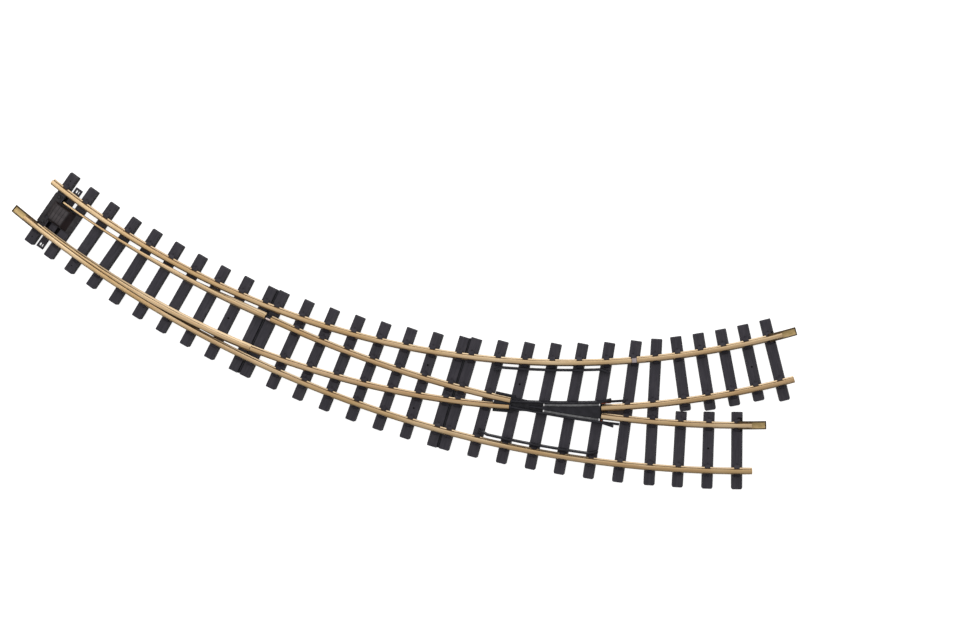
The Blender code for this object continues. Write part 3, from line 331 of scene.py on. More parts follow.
PAIRS = ((TOE_SLEEPERS[-1], MIDDLE_SLEEPERS[0]), (MIDDLE_SLEEPERS[-1], FROG_SLEEPERS[0]))
DIMPLED_SLEEPERS = [TOE_SLEEPERS[0], TOE_SLEEPERS[2]]
PAIRED_SLEEPERS = [sleeper for pair in PAIRS for sleeper in pair]
HEEL_LEFT = (TOE_SLEEPERS[-1].left + MIDDLE_SLEEPERS[0].left) / 2
HEEL_RIGHT = (TOE_SLEEPERS[-1].right + MIDDLE_SLEEPERS[0].right) / 2
LEFT_HEEL_DEG = polar(OUTER, cross_line(OUTER, -RAIL_OFFSET, HEEL_LEFT, HEEL_RIGHT))[0]
RIGHT_HEEL_DEG = polar(INNER, cross_line(INNER, RAIL_OFFSET, HEEL_LEFT, HEEL_RIGHT))[0]

INSULATOR_HALF_DEG = arc_degrees(INNER, -RAIL_OFFSET, INSULATOR_LENGTH / 2 + CLEARANCE)
TOE_RIGHT_DEG = TOE_END_DEG * INNER_RADIUS / OUTER_RADIUS
RAILS = {
    "left_stock_rail_front": Rail(INNER, -RAIL_OFFSET, TOE_END_DEG,
                                  INSULATOR_DEG - INSULATOR_HALF_DEG),
    "left_stock_rail_rear": Rail(INNER, -RAIL_OFFSET,
                                 INSULATOR_DEG + INSULATOR_HALF_DEG, INNER_END_DEG),
    "right_stock_rail": Rail(OUTER, RAIL_OFFSET, TOE_RIGHT_DEG, OUTER_END_DEG),
    "left_closure_rail": Rail(
        OUTER, -RAIL_OFFSET, LEFT_HEEL_DEG + arc_degrees(OUTER, -RAIL_OFFSET, HEEL_GAP),
        FROG_START_OUTER_DEG - arc_degrees(OUTER, -RAIL_OFFSET, CLEARANCE)),
    "right_closure_rail": Rail(
        INNER, RAIL_OFFSET, RIGHT_HEEL_DEG + arc_degrees(INNER, RAIL_OFFSET, HEEL_GAP),
        FROG_START_INNER_DEG - arc_degrees(INNER, RAIL_OFFSET, CLEARANCE)),
    "inner_exit_rail": Rail(
        INNER, RAIL_OFFSET, FROG_END_INNER_DEG + arc_degrees(INNER, RAIL_OFFSET, 2 * CLEARANCE),
        INNER_END_DEG),
    "outer_exit_rail": Rail(
        OUTER, -RAIL_OFFSET,
        FROG_END_OUTER_DEG + arc_degrees(OUTER, -RAIL_OFFSET, 2 * CLEARANCE), OUTER_END_DEG),
}

CHAIR_RAILS = {name: rail for name, rail in RAILS.items() if name != "left_stock_rail_rear"}
CHAIR_RAILS["left_stock_rail_front"] = Rail(INNER, -RAIL_OFFSET, TOE_END_DEG, INNER_END_DEG)

MECHANISM_CENTRE = (TOE_SLEEPERS[0].left + TOE_SLEEPERS[0].right
                    + TOE_SLEEPERS[1].left + TOE_SLEEPERS[1].right) / 4
MECHANISM = placed(MECHANISM_CENTRE, MECHANISM_TURN_DEG)
BAR = MECHANISM @ Matrix.Translation((0, -THROW / 2, 0))


def toe_origin():
    """Offset from the toe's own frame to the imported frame, from the left rail's end mount."""
    mounts = {mount["name"]: mount["pos_m"] for mount in frame["record"]["mounts"]}
    rail_end = on_arc(INNER, -RAIL_OFFSET, TOE_END_DEG, RAIL_BASE + END_MOUNT_HEIGHT)
    return Vector(mounts["toe_left_rail_end"]) - rail_end


ORIGIN = toe_origin()


# ---------------------------------------------------------------- finishes

class Finish:
    """A Principled material whose nodes read the "place" stored on every vertex."""

    def __init__(self, name, metallic=0.0, roughness=0.5, specular=0.5):
        self.material = bpy.data.materials.new(name)
        self.material.use_nodes = True
        self.tree = self.material.node_tree
        self.shader = self.tree.nodes["Principled BSDF"]
        self.shader.inputs["Metallic"].default_value = metallic
        self.shader.inputs["Roughness"].default_value = roughness
        self.shader.inputs["Specular IOR Level"].default_value = specular
        attribute = self.node("ShaderNodeAttribute")
        attribute.attribute_name = "place"
        self.place = attribute.outputs["Vector"]

    def node(self, kind):
        return self.tree.nodes.new(kind)

    def feed(self, source, target):
        """Link a socket, or set a value, on another socket."""
        if isinstance(source, bpy.types.NodeSocket):
            self.tree.links.new(source, target)
        else:
            target.default_value = source

    def scaled(self, along, across, height):
        """The place vector, stretched by a factor along each axis."""
        mapping = self.node("ShaderNodeMapping")
        mapping.inputs["Scale"].default_value = (along, across, height)
        self.feed(self.place, mapping.inputs["Vector"])
        return mapping.outputs["Vector"]

    def noise(self, vector, detail=3.0, roughness=0.55):
        texture = self.node("ShaderNodeTexNoise")
        texture.inputs["Scale"].default_value = 1.0
        texture.inputs["Detail"].default_value = detail
        texture.inputs["Roughness"].default_value = roughness
        self.feed(vector, texture.inputs["Vector"])
        return texture.outputs["Fac"]

    def part(self, axis):
        """One component of the place vector."""
        split = self.node("ShaderNodeSeparateXYZ")
        self.feed(self.place, split.inputs[0])
        return split.outputs[axis]

    def spread(self, value, low, high, to_low=0.0, to_high=1.0):
        """Map a value from one range to another, smoothly and clamped."""
        node = self.node("ShaderNodeMapRange")
        node.interpolation_type = "SMOOTHSTEP"
        for name, number in (("From Min", low), ("From Max", high),
                             ("To Min", to_low), ("To Max", to_high)):
            node.inputs[name].default_value = number
        self.feed(value, node.inputs["Value"])
        return node.outputs["Result"]

    def times(self, first, second):
        node = self.node("ShaderNodeMath")
        node.operation = "MULTIPLY"
        self.feed(first, node.inputs[0])
        self.feed(second, node.inputs[1])
        return node.outputs[0]

    def blend(self, factor, first, second):
        """Mix two colours."""
        node = self.node("ShaderNodeMix")
        node.data_type = "RGBA"
        self.feed(factor, node.inputs["Factor"])
        for colour, socket in ((first, node.inputs["A"]), (second, node.inputs["B"])):
            self.feed((*colour, 1.0) if isinstance(colour, tuple) else colour, socket)
        return node.outputs["Result"]

    def colour(self, value):
        self.feed(value, self.shader.inputs["Base Color"])

    def roughen(self, value):
        self.feed(value, self.shader.inputs["Roughness"])

    def bump(self, height, distance):
        node = self.node("ShaderNodeBump")
        node.inputs["Distance"].default_value = distance
        self.feed(height, node.inputs["Height"])
        if self.shader.inputs["Normal"].is_linked:
            self.feed(self.shader.inputs["Normal"].links[0].from_socket, node.inputs["Normal"])
        self.feed(node.outputs["Normal"], self.shader.inputs["Normal"])


def rail_brass(name, foot_crown):
    """Drawn brass: pale worn faces, long lines along the rail, a painted highlight on the foot and
    brown painted shade in the web, under the head.

    foot_crown is the height to which the foot is bright with a painted highlight; the painted
    shade of the web starts just below it.
    """
    finish = Finish(name, metallic=1.0)
    pale = (0.72, 0.545, 0.34)
    golden = (0.52, 0.35, 0.17)
    orange = (0.47, 0.28, 0.145)
    foot_highlight_cream = (0.78, 0.63, 0.43)
    web_shade_brown = (0.17, 0.09, 0.038)
    patches = finish.noise(finish.scaled(9, 40, 40), detail=3)
    streaks = finish.noise(finish.scaled(7, 1500, 1500), detail=2)
    blush = finish.noise(finish.scaled(30, 260, 260), detail=3)
    height = finish.part("Z")
    bands = finish.noise(finish.scaled(3, 900, 900), detail=2)
    # Painted shade: the web is coloured dark brown, between the foot and the head, where the head
    # shades it.
    above_foot = finish.spread(height, foot_crown - 0.25 * MM, foot_crown - 0.05 * MM)
    under_head = finish.spread(height, RAIL_HEIGHT - 1.2 * MM, RAIL_HEIGHT - 2.2 * MM)
    web = finish.times(above_foot, under_head)
    tone = finish.blend(finish.spread(patches, 0.35, 0.65), pale, golden)
    tone = finish.blend(finish.spread(streaks, 0.42, 0.62, 0.0, 0.4), tone, golden)
    tone = finish.blend(finish.spread(blush, 0.5, 0.72, 0.0, 0.3), tone, orange)
    tone = finish.blend(finish.spread(bands, 0.48, 0.6, 0.0, 0.6), tone, orange)
    # Painted highlight: the foot, up to foot_crown, is blended halfway towards cream.
    foot = finish.spread(height, foot_crown + 0.2 * MM, foot_crown - 0.1 * MM, 0.0, 0.5)
    tone = finish.blend(foot, tone, foot_highlight_cream)
    # Blend the painted shade of the web over the tone.
    finish.colour(finish.blend(finish.times(web, 0.97), tone, web_shade_brown))
    finish.roughen(finish.spread(web, 0, 1, 0.3, 0.55))
    scratches = finish.noise(finish.scaled(60, 1500, 1500), detail=1)
    finish.bump(scratches, 0.003 * MM)
    return finish.material


def joiner_brass():
    """Folded brass sheet: olive inside, partly tarnish and partly painted shade; a painted
    highlight on the lips; painted shade down its sides, and darker at both ends.
    """
    finish = Finish("joiner_brass", metallic=1.0)
    # The olive, which covers all but the lips, is partly tarnish and partly painted shade of the
    # channel's inside.
    olive = (0.36, 0.255, 0.105)
    worn = (0.62, 0.45, 0.22)
    pale = (0.78, 0.60, 0.34)
    side_shade_and_end_dark = (0.025, 0.012, 0.005)
    lines = finish.noise(finish.scaled(40, 900, 900), detail=3)
    dents = finish.noise(finish.scaled(160, 200, 200), detail=2)
    height = finish.part("Z")
    # Painted highlight: the lips on top are pale.
    lip = finish.spread(height, JOINER_TOP - 0.5 * MM, JOINER_TOP - 0.1 * MM)
    offset = finish.part("Y")
    # Painted shade down both sides of the sheet.
    side_shade_band = finish.spread(finish.times(offset, offset), (JOINER_HALF_WIDTH - 1.5 * MM) ** 2,
                         (JOINER_HALF_WIDTH - 1.1 * MM) ** 2)
    # Darker at both ends.
    ends = finish.spread(finish.part("X"), JOINER_LENGTH - 1.4 * MM, JOINER_LENGTH - 0.9 * MM)
    starts = finish.spread(finish.part("X"), 1.4 * MM, 0.9 * MM)
    tone = finish.blend(finish.spread(lines, 0.35, 0.65), olive, worn)
    tone = finish.blend(finish.spread(dents, 0.5, 0.7, 0.0, 0.7), tone, worn)
    tone = finish.blend(lip, tone, pale)
    # Blend the painted shade of the sides and the darker ends over the tone.
    for darkened_band in (side_shade_band, ends, starts):
        tone = finish.blend(finish.times(darkened_band, 0.9), tone, side_shade_and_end_dark)
    finish.colour(tone)
    finish.roughen(finish.spread(side_shade_band, 0, 1, 0.36, 0.6))
    finish.bump(dents, 0.1 * MM)
    return finish.material


def sleeper_plastic():
    """Charcoal moulding with wood grain along each sleeper, painted shade on its flanks, and
    scuffs.
    """
    finish = Finish("sleeper_plastic", roughness=0.55, specular=0.35)
    dark = (0.033, 0.030, 0.040)
    middle = (0.053, 0.048, 0.063)
    light = (0.082, 0.074, 0.088)
    grain = finish.noise(finish.scaled(45, 900, 900), detail=5, roughness=0.65)
    cloud = finish.noise(finish.scaled(70, 90, 90), detail=2)
    speck = finish.noise(finish.scaled(2600, 2600, 2600), detail=2)
    tone = finish.blend(finish.spread(grain, 0.32, 0.62), dark, middle)
    tone = finish.blend(finish.spread(cloud, 0.45, 0.8, 0.0, 0.5), tone, light)
    tone = finish.blend(finish.spread(speck, 0.7, 0.84, 0.0, 0.5), tone, (0.11, 0.10, 0.11))
    # Painted shade: below the top edge the flanks go nearly black.
    flank_shade = finish.spread(finish.part("Z"), SLEEPER_HEIGHT - 0.45 * MM, SLEEPER_HEIGHT - 1 * MM)
    finish.colour(finish.blend(finish.times(flank_shade, 0.9), tone, (0.006, 0.005, 0.007)))
    finish.roughen(finish.spread(flank_shade, 0, 1, 0.54, 0.95))
    finish.bump(grain, 0.12 * MM)
    finish.bump(speck, 0.03 * MM)
    return finish.material


def moulded_plastic(name, dark, light, roughness=0.45, specular=0.35):
    """Smooth moulding with faint flow marks and a fine spark-eroded texture."""
    finish = Finish(name, roughness=roughness, specular=specular)
    cloud = finish.noise(finish.scaled(110, 160, 110), detail=3)
    speck = finish.noise(finish.scaled(2200, 2200, 2200), detail=2)
    tone = finish.blend(finish.spread(cloud, 0.35, 0.7), dark, light)
    finish.colour(tone)
    finish.roughen(finish.spread(cloud, 0.3, 0.7, roughness + 0.07, roughness - 0.07))
    finish.bump(speck, 0.04 * MM)
    return finish.material


def metal(name, base, worn, roughness):
    """Bare metal with drawing lines and slight patches of wear."""
    finish = Finish(name, metallic=1.0)
    lines = finish.noise(finish.scaled(60, 2400, 2400), detail=2)
    patches = finish.noise(finish.scaled(160, 220, 220), detail=3)
    finish.colour(finish.blend(finish.spread(patches, 0.35, 0.7), base, worn))
    finish.roughen(finish.spread(lines, 0.3, 0.7, roughness - 0.08, roughness + 0.1))
    finish.bump(lines, 0.006 * MM)
    return finish.material


# The second argument sets the height of the painted highlight on the foot: it is higher on the
# blades.
BRASS = rail_brass("rail_brass", FOOT_EDGE + 0.55 * MM)
BLADE_BRASS = rail_brass("blade_brass", FOOT_EDGE + 0.8 * MM)
JOINER_BRASS = joiner_brass()
SLEEPER = sleeper_plastic()
BLACK = moulded_plastic("frog_plastic", (0.010, 0.0095, 0.015), (0.019, 0.018, 0.027))
CHAIR = moulded_plastic("chair_plastic", (0.040, 0.036, 0.046), (0.066, 0.060, 0.074), 0.6,
                        0.25)
FLANGE = moulded_plastic("flange_plastic", (0.028, 0.024, 0.027), (0.046, 0.040, 0.044), 0.5)
COVER = moulded_plastic("cover_plastic", (0.019, 0.012, 0.013), (0.036, 0.024, 0.025), 0.42)
PAD = moulded_plastic("pad_plastic", (0.068, 0.057, 0.060), (0.098, 0.083, 0.087), 0.55)
SPACER = moulded_plastic("spacer_plastic", (0.022, 0.011, 0.010), (0.044, 0.022, 0.020))
INSERT = moulded_plastic("insert_plastic", (0.50, 0.42, 0.42), (0.60, 0.51, 0.51), 0.4)
DARK_STEEL = metal("dark_steel", (0.17, 0.17, 0.175), (0.26, 0.26, 0.265), 0.5)
BLACK_STEEL = metal("black_steel", (0.045, 0.045, 0.05), (0.08, 0.08, 0.085), 0.4)
BRIGHT_STEEL = metal("bright_steel", (0.86, 0.86, 0.88), (0.70, 0.68, 0.67), 0.26)
CONTACT = metal("contact_metal", (0.80, 0.66, 0.62), (0.62, 0.47, 0.42), 0.30)
COPPER = metal("copper", (0.42, 0.12, 0.07), (0.30, 0.08, 0.05), 0.36)


# ---------------------------------------------------------------- mesh helpers

def blank():
    """Empty bmesh whose vertices can store the place that the finishes read."""
    bm = bmesh.new()
    bm.verts.layers.float_vector.new("place")
    return bm


def stamp(bm, verts):
    """Store each vertex's own coordinates as its place."""
    layer = bm.verts.layers.float_vector["place"]
    for vert in verts:
        vert[layer] = vert.co


def piece(name, bm, material, body=TRACK, stands_for=()):
    """Link a finished mesh as a named piece that rides on a body."""
    bmesh.ops.recalc_face_normals(bm, faces=bm.faces)
    mesh = bpy.data.meshes.new(name)
    bm.to_mesh(mesh)
    bm.free()
    mesh.transform(Matrix.Translation(ORIGIN))
    mesh.materials.append(material)
    mesh.shade_smooth()
    mesh.set_sharp_from_angle(angle=radians(CRISP_DEG))
    obj = bpy.data.objects.new(name, mesh)
    bpy.context.scene.collection.objects.link(obj)
    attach(obj, body)
    if stands_for:
        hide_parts(*stands_for)


def loft(bm, rings, places):
    """Closed skin through rings that have the same number of points."""
    layer = bm.verts.layers.float_vector["place"]
    loops = []
    for ring, marks in zip(rings, places):
        loop = [bm.verts.new(point) for point in ring]
        for vert, mark in zip(loop, marks):
            vert[layer] = mark
        loops.append(loop)
    for near, far in zip(loops, loops[1:]):
        for i in range(len(near)):
            j = (i + 1) % len(near)
            bm.faces.new((near[i], near[j], far[j], far[i]))
    bm.faces.new(loops[0])
    bm.faces.new(loops[-1])


def rounded(corners, steps=3):
    """Outline with a soft arc at each corner, given as (across, height, radius)."""
    outline = []
    count = len(corners)
    for i, (across, height, radius) in enumerate(corners):
        here = Vector((across, height))
        before = Vector(corners[i - 1][:2]) - here
        after = Vector(corners[(i + 1) % count][:2]) - here
        start = here + before.normalized() * min(radius, before.length * 0.46)
        end = here + after.normalized() * min(radius, after.length * 0.46)
        for k in range(steps + 1):
            t = k / steps
            outline.append(start * (1 - t) ** 2 + here * (2 * t * (1 - t)) + end * t ** 2)
    return outline


def mirrored(half, steps=3):
    """Outline whose left side mirrors the corners given for its right side."""
    return rounded(half + [(-across, height, soft) for across, height, soft in reversed(half)],
                   steps)


def shrunk(outline, amount):
    """Outline moved inwards by an amount."""
    count = len(outline)
    area = sum(outline[i - 1].cross(outline[i]) for i in range(count))
    turn = 1 if area > 0 else -1
    moved = []
    for i, point in enumerate(outline):
        along = outline[(i + 1) % count] - outline[i - 1]
        moved.append(point + Vector((-along.y, along.x)).normalized() * amount * turn)
    return moved


def side_directions(path):
    """Direction to the right of a level path at each point, mitred at its bends."""
    sides = []
    last = len(path) - 1
    for i in range(len(path)):
        back = (path[i] - path[max(i - 1, 0)]).normalized() if i else None
        ahead = (path[i + 1] - path[i]).normalized() if i < last else None
        back = back or ahead
        ahead = ahead or back
        along = (back + ahead).normalized()
        mitre = 1 / max(0.5, along.dot(ahead))
        sides.append(Vector((along.y, -along.x, 0)) * mitre)
    return sides


def sweep(bm, path, outline, base=0.0, bevel=END_BEVEL, start_mark=0.0):
    """Solid of an outline of (offset, height) points along a level path, with beveled ends."""
    sides = side_directions(path)
    into_start = (path[1] - path[0]).normalized() * bevel
    into_end = (path[-2] - path[-1]).normalized() * bevel
    small = shrunk(outline, bevel)
    stations = [(path[0], sides[0], small), (path[0] + into_start, sides[0], outline)]
    stations += [(point, side, outline) for point, side in zip(path[1:-1], sides[1:-1])]
    stations += [(path[-1] + into_end, sides[-1], outline), (path[-1], sides[-1], small)]
    rings = []
    places = []
    run = start_mark
    previous = path[0]
    for point, side, shape in stations:
        run += (point - previous).length
        previous = point
        rings.append([point + side * p.x + Vector((0, 0, base + p.y)) for p in shape])
        places.append([Vector((run, p.x, p.y)) for p in shape])
    loft(bm, rings, places)


def prism(bm, points, bottom, top, bevel):
    """Upright solid of a plan outline, with a bevel round its top."""
    flat = [Vector((point.x, point.y)) for point in points]
    levels = [(bottom, flat), (top - bevel, flat), (top, shrunk(flat, bevel))]
    rings = [[Vector((p.x, p.y, height)) for p in shape] for height, shape in levels]
    loft(bm, rings, rings)


def turned(bm, profile, place, segments=24):
    """Solid of revolution about the local Z axis, from (radius, height) points, bottom to top."""
    angles = [2 * pi * i / segments for i in range(segments)]
    local = [[Vector((radius * cos(a), radius * sin(a), height)) for a in angles]
             for radius, height in profile]
    loft(bm, [[place @ point for point in ring] for ring in local], local)


def pin_profile(radius, bottom, top, bevel=0.15 * MM):
    """Profile of a round pin with beveled ends."""
    return [(radius - bevel, bottom), (radius, bottom + bevel), (radius, top - bevel),
            (radius - bevel, top)]


def soft_box(bm, size, place, top_scale=(1, 1), bevel=0.3 * MM, segments=2, top_shift=0.0):
    """Box on its base centre with rounded edges, whose top may be smaller and shifted."""
    made = bmesh.ops.create_cube(bm, size=1)["verts"]
    for vert in made:
        is_top = vert.co.z > 0
        vert.co = Vector((
            vert.co.x * size[0] * (top_scale[0] if is_top else 1) + (top_shift if is_top else 0),
            vert.co.y * size[1] * (top_scale[1] if is_top else 1),
            (vert.co.z + 0.5) * size[2],
        ))
    edges = list({edge for vert in made for edge in vert.link_edges})
    result = bmesh.ops.bevel(bm, geom=edges, offset=bevel, segments=segments, profile=0.6,
                             affect="EDGES", clamp_overlap=True)
    verts = list({vert for face in result["faces"] for vert in face.verts})
    stamp(bm, verts)
    bmesh.ops.transform(bm, matrix=place, verts=verts)


def spread_places(bm):
    """Copy each vertex's place to its face corners, where a boolean can interpolate it."""
    corner = bm.loops.layers.float_vector.new("corner_place")
    layer = bm.verts.layers.float_vector["place"]
    for face in bm.faces:
        for loop in face.loops:
            loop[corner] = loop.vert[layer]


def gather_places(bm):
    """Give the vertices that a boolean made the place that their widest face has there."""
    corner = bm.loops.layers.float_vector["corner_place"]
    layer = bm.verts.layers.float_vector["place"]
    for vert in bm.verts:
        if vert[layer].length == 0 and vert.link_loops:
            widest = max(vert.link_loops, key=lambda loop: loop.face.calc_area())
            vert[layer] = widest[corner]
    bm.loops.layers.float_vector.remove(corner)


def cut(obj_bm, cutter_bm, operation="DIFFERENCE"):
    """Boolean of two bmeshes with the exact solver. Both are used up."""
    objects = []
    for index, bm in enumerate((obj_bm, cutter_bm)):
        mesh = bpy.data.meshes.new("boolean_%d" % index)
        bmesh.ops.recalc_face_normals(bm, faces=bm.faces)
        spread_places(bm)
        bm.to_mesh(mesh)
        bm.free()
        obj = bpy.data.objects.new(mesh.name, mesh)
        bpy.context.scene.collection.objects.link(obj)
        objects.append(obj)
    modifier = objects[0].modifiers.new("boolean", "BOOLEAN")
    modifier.operation = operation
    modifier.solver = "EXACT"
    modifier.use_self = True
    modifier.object = objects[1]
    evaluated = objects[0].evaluated_get(bpy.context.evaluated_depsgraph_get())
    result = bmesh.new()
    result.from_mesh(evaluated.to_mesh())
    gather_places(result)
    for obj in objects:
        mesh = obj.data
        bpy.data.objects.remove(obj, do_unlink=True)
        bpy.data.meshes.remove(mesh)
    return result


# ---------------------------------------------------------------- rails

def rail_outline(grow=0.0):
    """Rail section with rounded head, filleted web and soft foot edges."""
    return mirrored([
        (RAIL_FOOT_WIDTH / 2 + grow, 0, 0.2 * MM),
        (RAIL_FOOT_WIDTH / 2 + grow, FOOT_EDGE, 0.35 * MM),
        (WEB_WIDTH / 2 + grow, FOOT_CROWN, 0.9 * MM),
        (WEB_WIDTH / 2 + grow, HEAD_UNDERSIDE, 0.5 * MM),
        (HEAD_WIDTH / 2 + grow, HEAD_SHOULDER, 0.35 * MM),
        (HEAD_WIDTH / 2 + grow, RAIL_HEIGHT, 0.75 * MM),
    ])


def make_rails():
    """The fixed rails. The left closure rail starts behind its planed tongue."""
    for index, (name, rail) in enumerate(RAILS.items()):
        bm = blank()
        start = rail.start
        if name == "left_closure_rail":
            start += arc_degrees(rail.route, rail.offset, HEEL_TONGUE_LENGTH)
        path = arc_path(rail.route, rail.offset, start, rail.end)
        sweep(bm, path, rail_outline(), RAIL_BASE, start_mark=index * RAIL_SHIFT)
        piece("brass_" + name, bm, BRASS, stands_for=[name])


def make_heel_tongue():
    """Planed end of the left closure rail, which laps half of its head past a dark block."""
    rail = RAILS["left_closure_rail"]
    head = HEAD_WIDTH / 2
    foot = RAIL_FOOT_WIDTH / 2
    web = WEB_WIDTH / 2
    outline = rounded([
        (foot, 0, 0.2 * MM), (foot, FOOT_EDGE, 0.35 * MM), (web, FOOT_CROWN, 0.9 * MM),
        (web, HEAD_UNDERSIDE, 0.5 * MM), (head, HEAD_SHOULDER, 0.35 * MM),
        (head, RAIL_HEIGHT - 0.3 * MM, 0.5 * MM), (0.2 * MM, RAIL_HEIGHT - 0.3 * MM, 0.2 * MM),
        (0, HEAD_SHOULDER, 0.2 * MM), (-web, HEAD_UNDERSIDE - 1 * MM, 0.4 * MM),
        (-web, 0, 0.2 * MM)])
    near = rail.start + arc_degrees(rail.route, rail.offset, 1 * MM)
    far = rail.start + arc_degrees(rail.route, rail.offset, HEEL_TONGUE_LENGTH + 0.2 * MM)
    bm = blank()
    sweep(bm, arc_path(rail.route, rail.offset, near, far, 2 * MM), outline, RAIL_BASE)
    piece("heel_tongue", bm, CONTACT)
    bm = blank()
    block = rounded([(-0.35 * MM, HEAD_SHOULDER, 0.1 * MM), (-0.35 * MM, 7.6 * MM, 0.3 * MM),
                     (-head, 7.6 * MM, 0.4 * MM), (-head, FOOT_CROWN, 0.2 * MM),
                     (-web - 0.2 * MM, FOOT_CROWN + 0.6 * MM, 0.1 * MM)], 2)
    far -= arc_degrees(rail.route, rail.offset, 0.5 * MM)
    sweep(bm, arc_path(rail.route, rail.offset, near, far, 2 * MM), block, RAIL_BASE)
    piece("heel_block", bm, BLACK)


def make_insulator():
    """Grey moulded piece that parts the left stock rail and stands a hair proud of it."""
    bm = blank()
    half = arc_degrees(INNER, -RAIL_OFFSET, INSULATOR_LENGTH / 2)
    path = arc_path(INNER, -RAIL_OFFSET, INSULATOR_DEG - half, INSULATOR_DEG + half, 2 * MM)
    sweep(bm, path, rail_outline(0.04 * MM), RAIL_BASE)
    piece("rail_insulator", bm, INSERT, stands_for=["stock_rail_insulator"])


# ---------------------------------------------------------------- switch blades

def blade_outline(gauge_face, tip, extra):
    """Blade section when closed, by distance from the stock rail's centre line.

    tip runs from 1 at the very tip to 0 where the full head height is reached. extra
    thickens the head alone.
    """
    stock_side = max(HEAD_WIDTH / 2 + CLEARANCE, gauge_face - HEAD_WIDTH)
    centre = (stock_side + gauge_face) / 2
    thickness = gauge_face - stock_side
    face = gauge_face + extra
    half_web = min(WEB_WIDTH / 2, thickness / 2 - 0.05 * MM)
    crown = min(0.75 * MM, thickness * 0.35)
    top = RAIL_HEIGHT - TIP_DROP * tip
    foot_limit = FOOT_WIDTH / 2 + CLEARANCE
    foot_left = max(foot_limit, centre - FOOT_WIDTH / 2)
    foot_right = gauge_face + (FOOT_WIDTH - HEAD_WIDTH) / 2
    planed = (foot_left - (centre - FOOT_WIDTH / 2)) / (foot_limit + FOOT_WIDTH / 2)
    return rounded([
        (foot_right, 0, 0.2 * MM),
        (foot_right, FOOT_EDGE, 0.35 * MM),
        (centre + half_web, FOOT_CROWN + 0.4 * MM * planed, 0.6 * MM),
        (centre + half_web, HEAD_UNDERSIDE, 0.4 * MM),
        (face, HEAD_SHOULDER, 0.3 * MM),
        (face, top, crown),
        (stock_side, top, crown * (1 - 0.6 * planed)),
        (stock_side, HEAD_SHOULDER, 0.25 * MM),
        (centre - half_web, HEAD_UNDERSIDE, 0.3 * MM),
        (centre - half_web, FOOT_CROWN + 0.3 * MM * planed, 0.4 * MM),
        (foot_left, FOOT_EDGE + 0.2 * MM * planed, 0.25 * MM),
        (foot_left, 0, 0.2 * MM),
    ])


def blade_shape(stock, stock_offset, side, route, route_offset, heel_deg):
    """Rings and places of a closed blade, tip to heel, and its pin and pivot points."""
    heel = on_arc(route, route_offset, heel_deg)
    start = TIP_STATION / (stock.radius + stock_offset) * 180 / pi
    end = polar(stock, heel)[0]

    def gauge_face(degrees):
        run = (degrees - start) / (end - start)
        lead = abs(gap_to(stock, route, route_offset, stock_offset, degrees))
        return HEAD_WIDTH / 2 + lead + TIP_THICKNESS * (1 - run ** 2)

    def place(degrees, distance, height=0.0):
        return on_arc(stock, stock_offset + side * distance, degrees, height)

    rings = []
    marks = []
    for i in range(BLADE_RINGS + 1):
        run = i / BLADE_RINGS
        degrees = start + (end - start) * run
        tip = max(0.0, 1 - run / TIP_TAPER_LENGTH)
        face = gauge_face(degrees)
        outline = blade_outline(face, tip, BLADE_EXTRA * (1 - run) ** 2)
        ends = i in (0, BLADE_RINGS)
        shape = shrunk(outline, END_BEVEL) if ends else outline
        rings.append([place(degrees, p.x, p.y + RAIL_BASE) for p in shape])
        length = radians(degrees - start) * stock.radius
        marks.append([Vector((length + BLADE_SHIFT, p.x - face, p.y)) for p in shape])
    pin_deg = polar(stock, MECHANISM_CENTRE)[0]
    face = gauge_face(pin_deg)
    pin = place(pin_deg, (FOOT_WIDTH / 2 + CLEARANCE + face) / 2 + PIN_RADIUS)
    pivot = on_arc(route, route_offset, heel_deg - arc_degrees(route, route_offset, PIVOT_SETBACK))
    return Blade(rings, marks, pin, pivot)


BLADES = {
    "left": blade_shape(INNER, -RAIL_OFFSET, 1, OUTER, -RAIL_OFFSET, LEFT_HEEL_DEG),
    "right": blade_shape(OUTER, RAIL_OFFSET, -1, INNER, RAIL_OFFSET, RIGHT_HEEL_DEG),
}


def rest_swing(side):
    """Turn about the heel that takes a closed blade to where it stands at rest."""
    pivot = BLADES[side].pivot
    throw = THROW * cos(radians(MECHANISM_TURN_DEG))
    angle = throw / (pivot.x - BLADES[side].pin.x) if side == "left" else 0.0
    return Matrix.Translation(pivot) @ Matrix.Rotation(angle, 4, "Z") @ Matrix.Translation(-pivot)


def make_blades():
    """The left blade stands open and the right one closed, as the frame has them."""
    for side, (rings, marks, pin, pivot) in BLADES.items():
        swing = rest_swing(side)
        bm = blank()
        loft(bm, [[swing @ point for point in ring] for ring in rings], marks)
        piece(side + "_blade_brass", bm, BLADE_BRASS, side + "_blade",
              [side + "_switch_blade"])
        bm = blank()
        turned(bm, pin_profile(PIN_RADIUS, BAR_BOTTOM, RAIL_BASE), Matrix.Translation(swing @ pin))
        piece(side + "_drive_pin", bm, BRIGHT_STEEL, side + "_blade",
              [side + "_blade_drive_pin"])
        bm = blank()
        turned(bm, pin_profile(PIVOT_RADIUS, SLEEPER_HEIGHT - 3 * MM, RAIL_BASE + PIVOT_DEPTH
                               - CLEARANCE), Matrix.Translation(pivot))
        piece(side + "_pivot_pin", bm, BRIGHT_STEEL,
              stands_for=[side + "_heel_pivot_pin"])


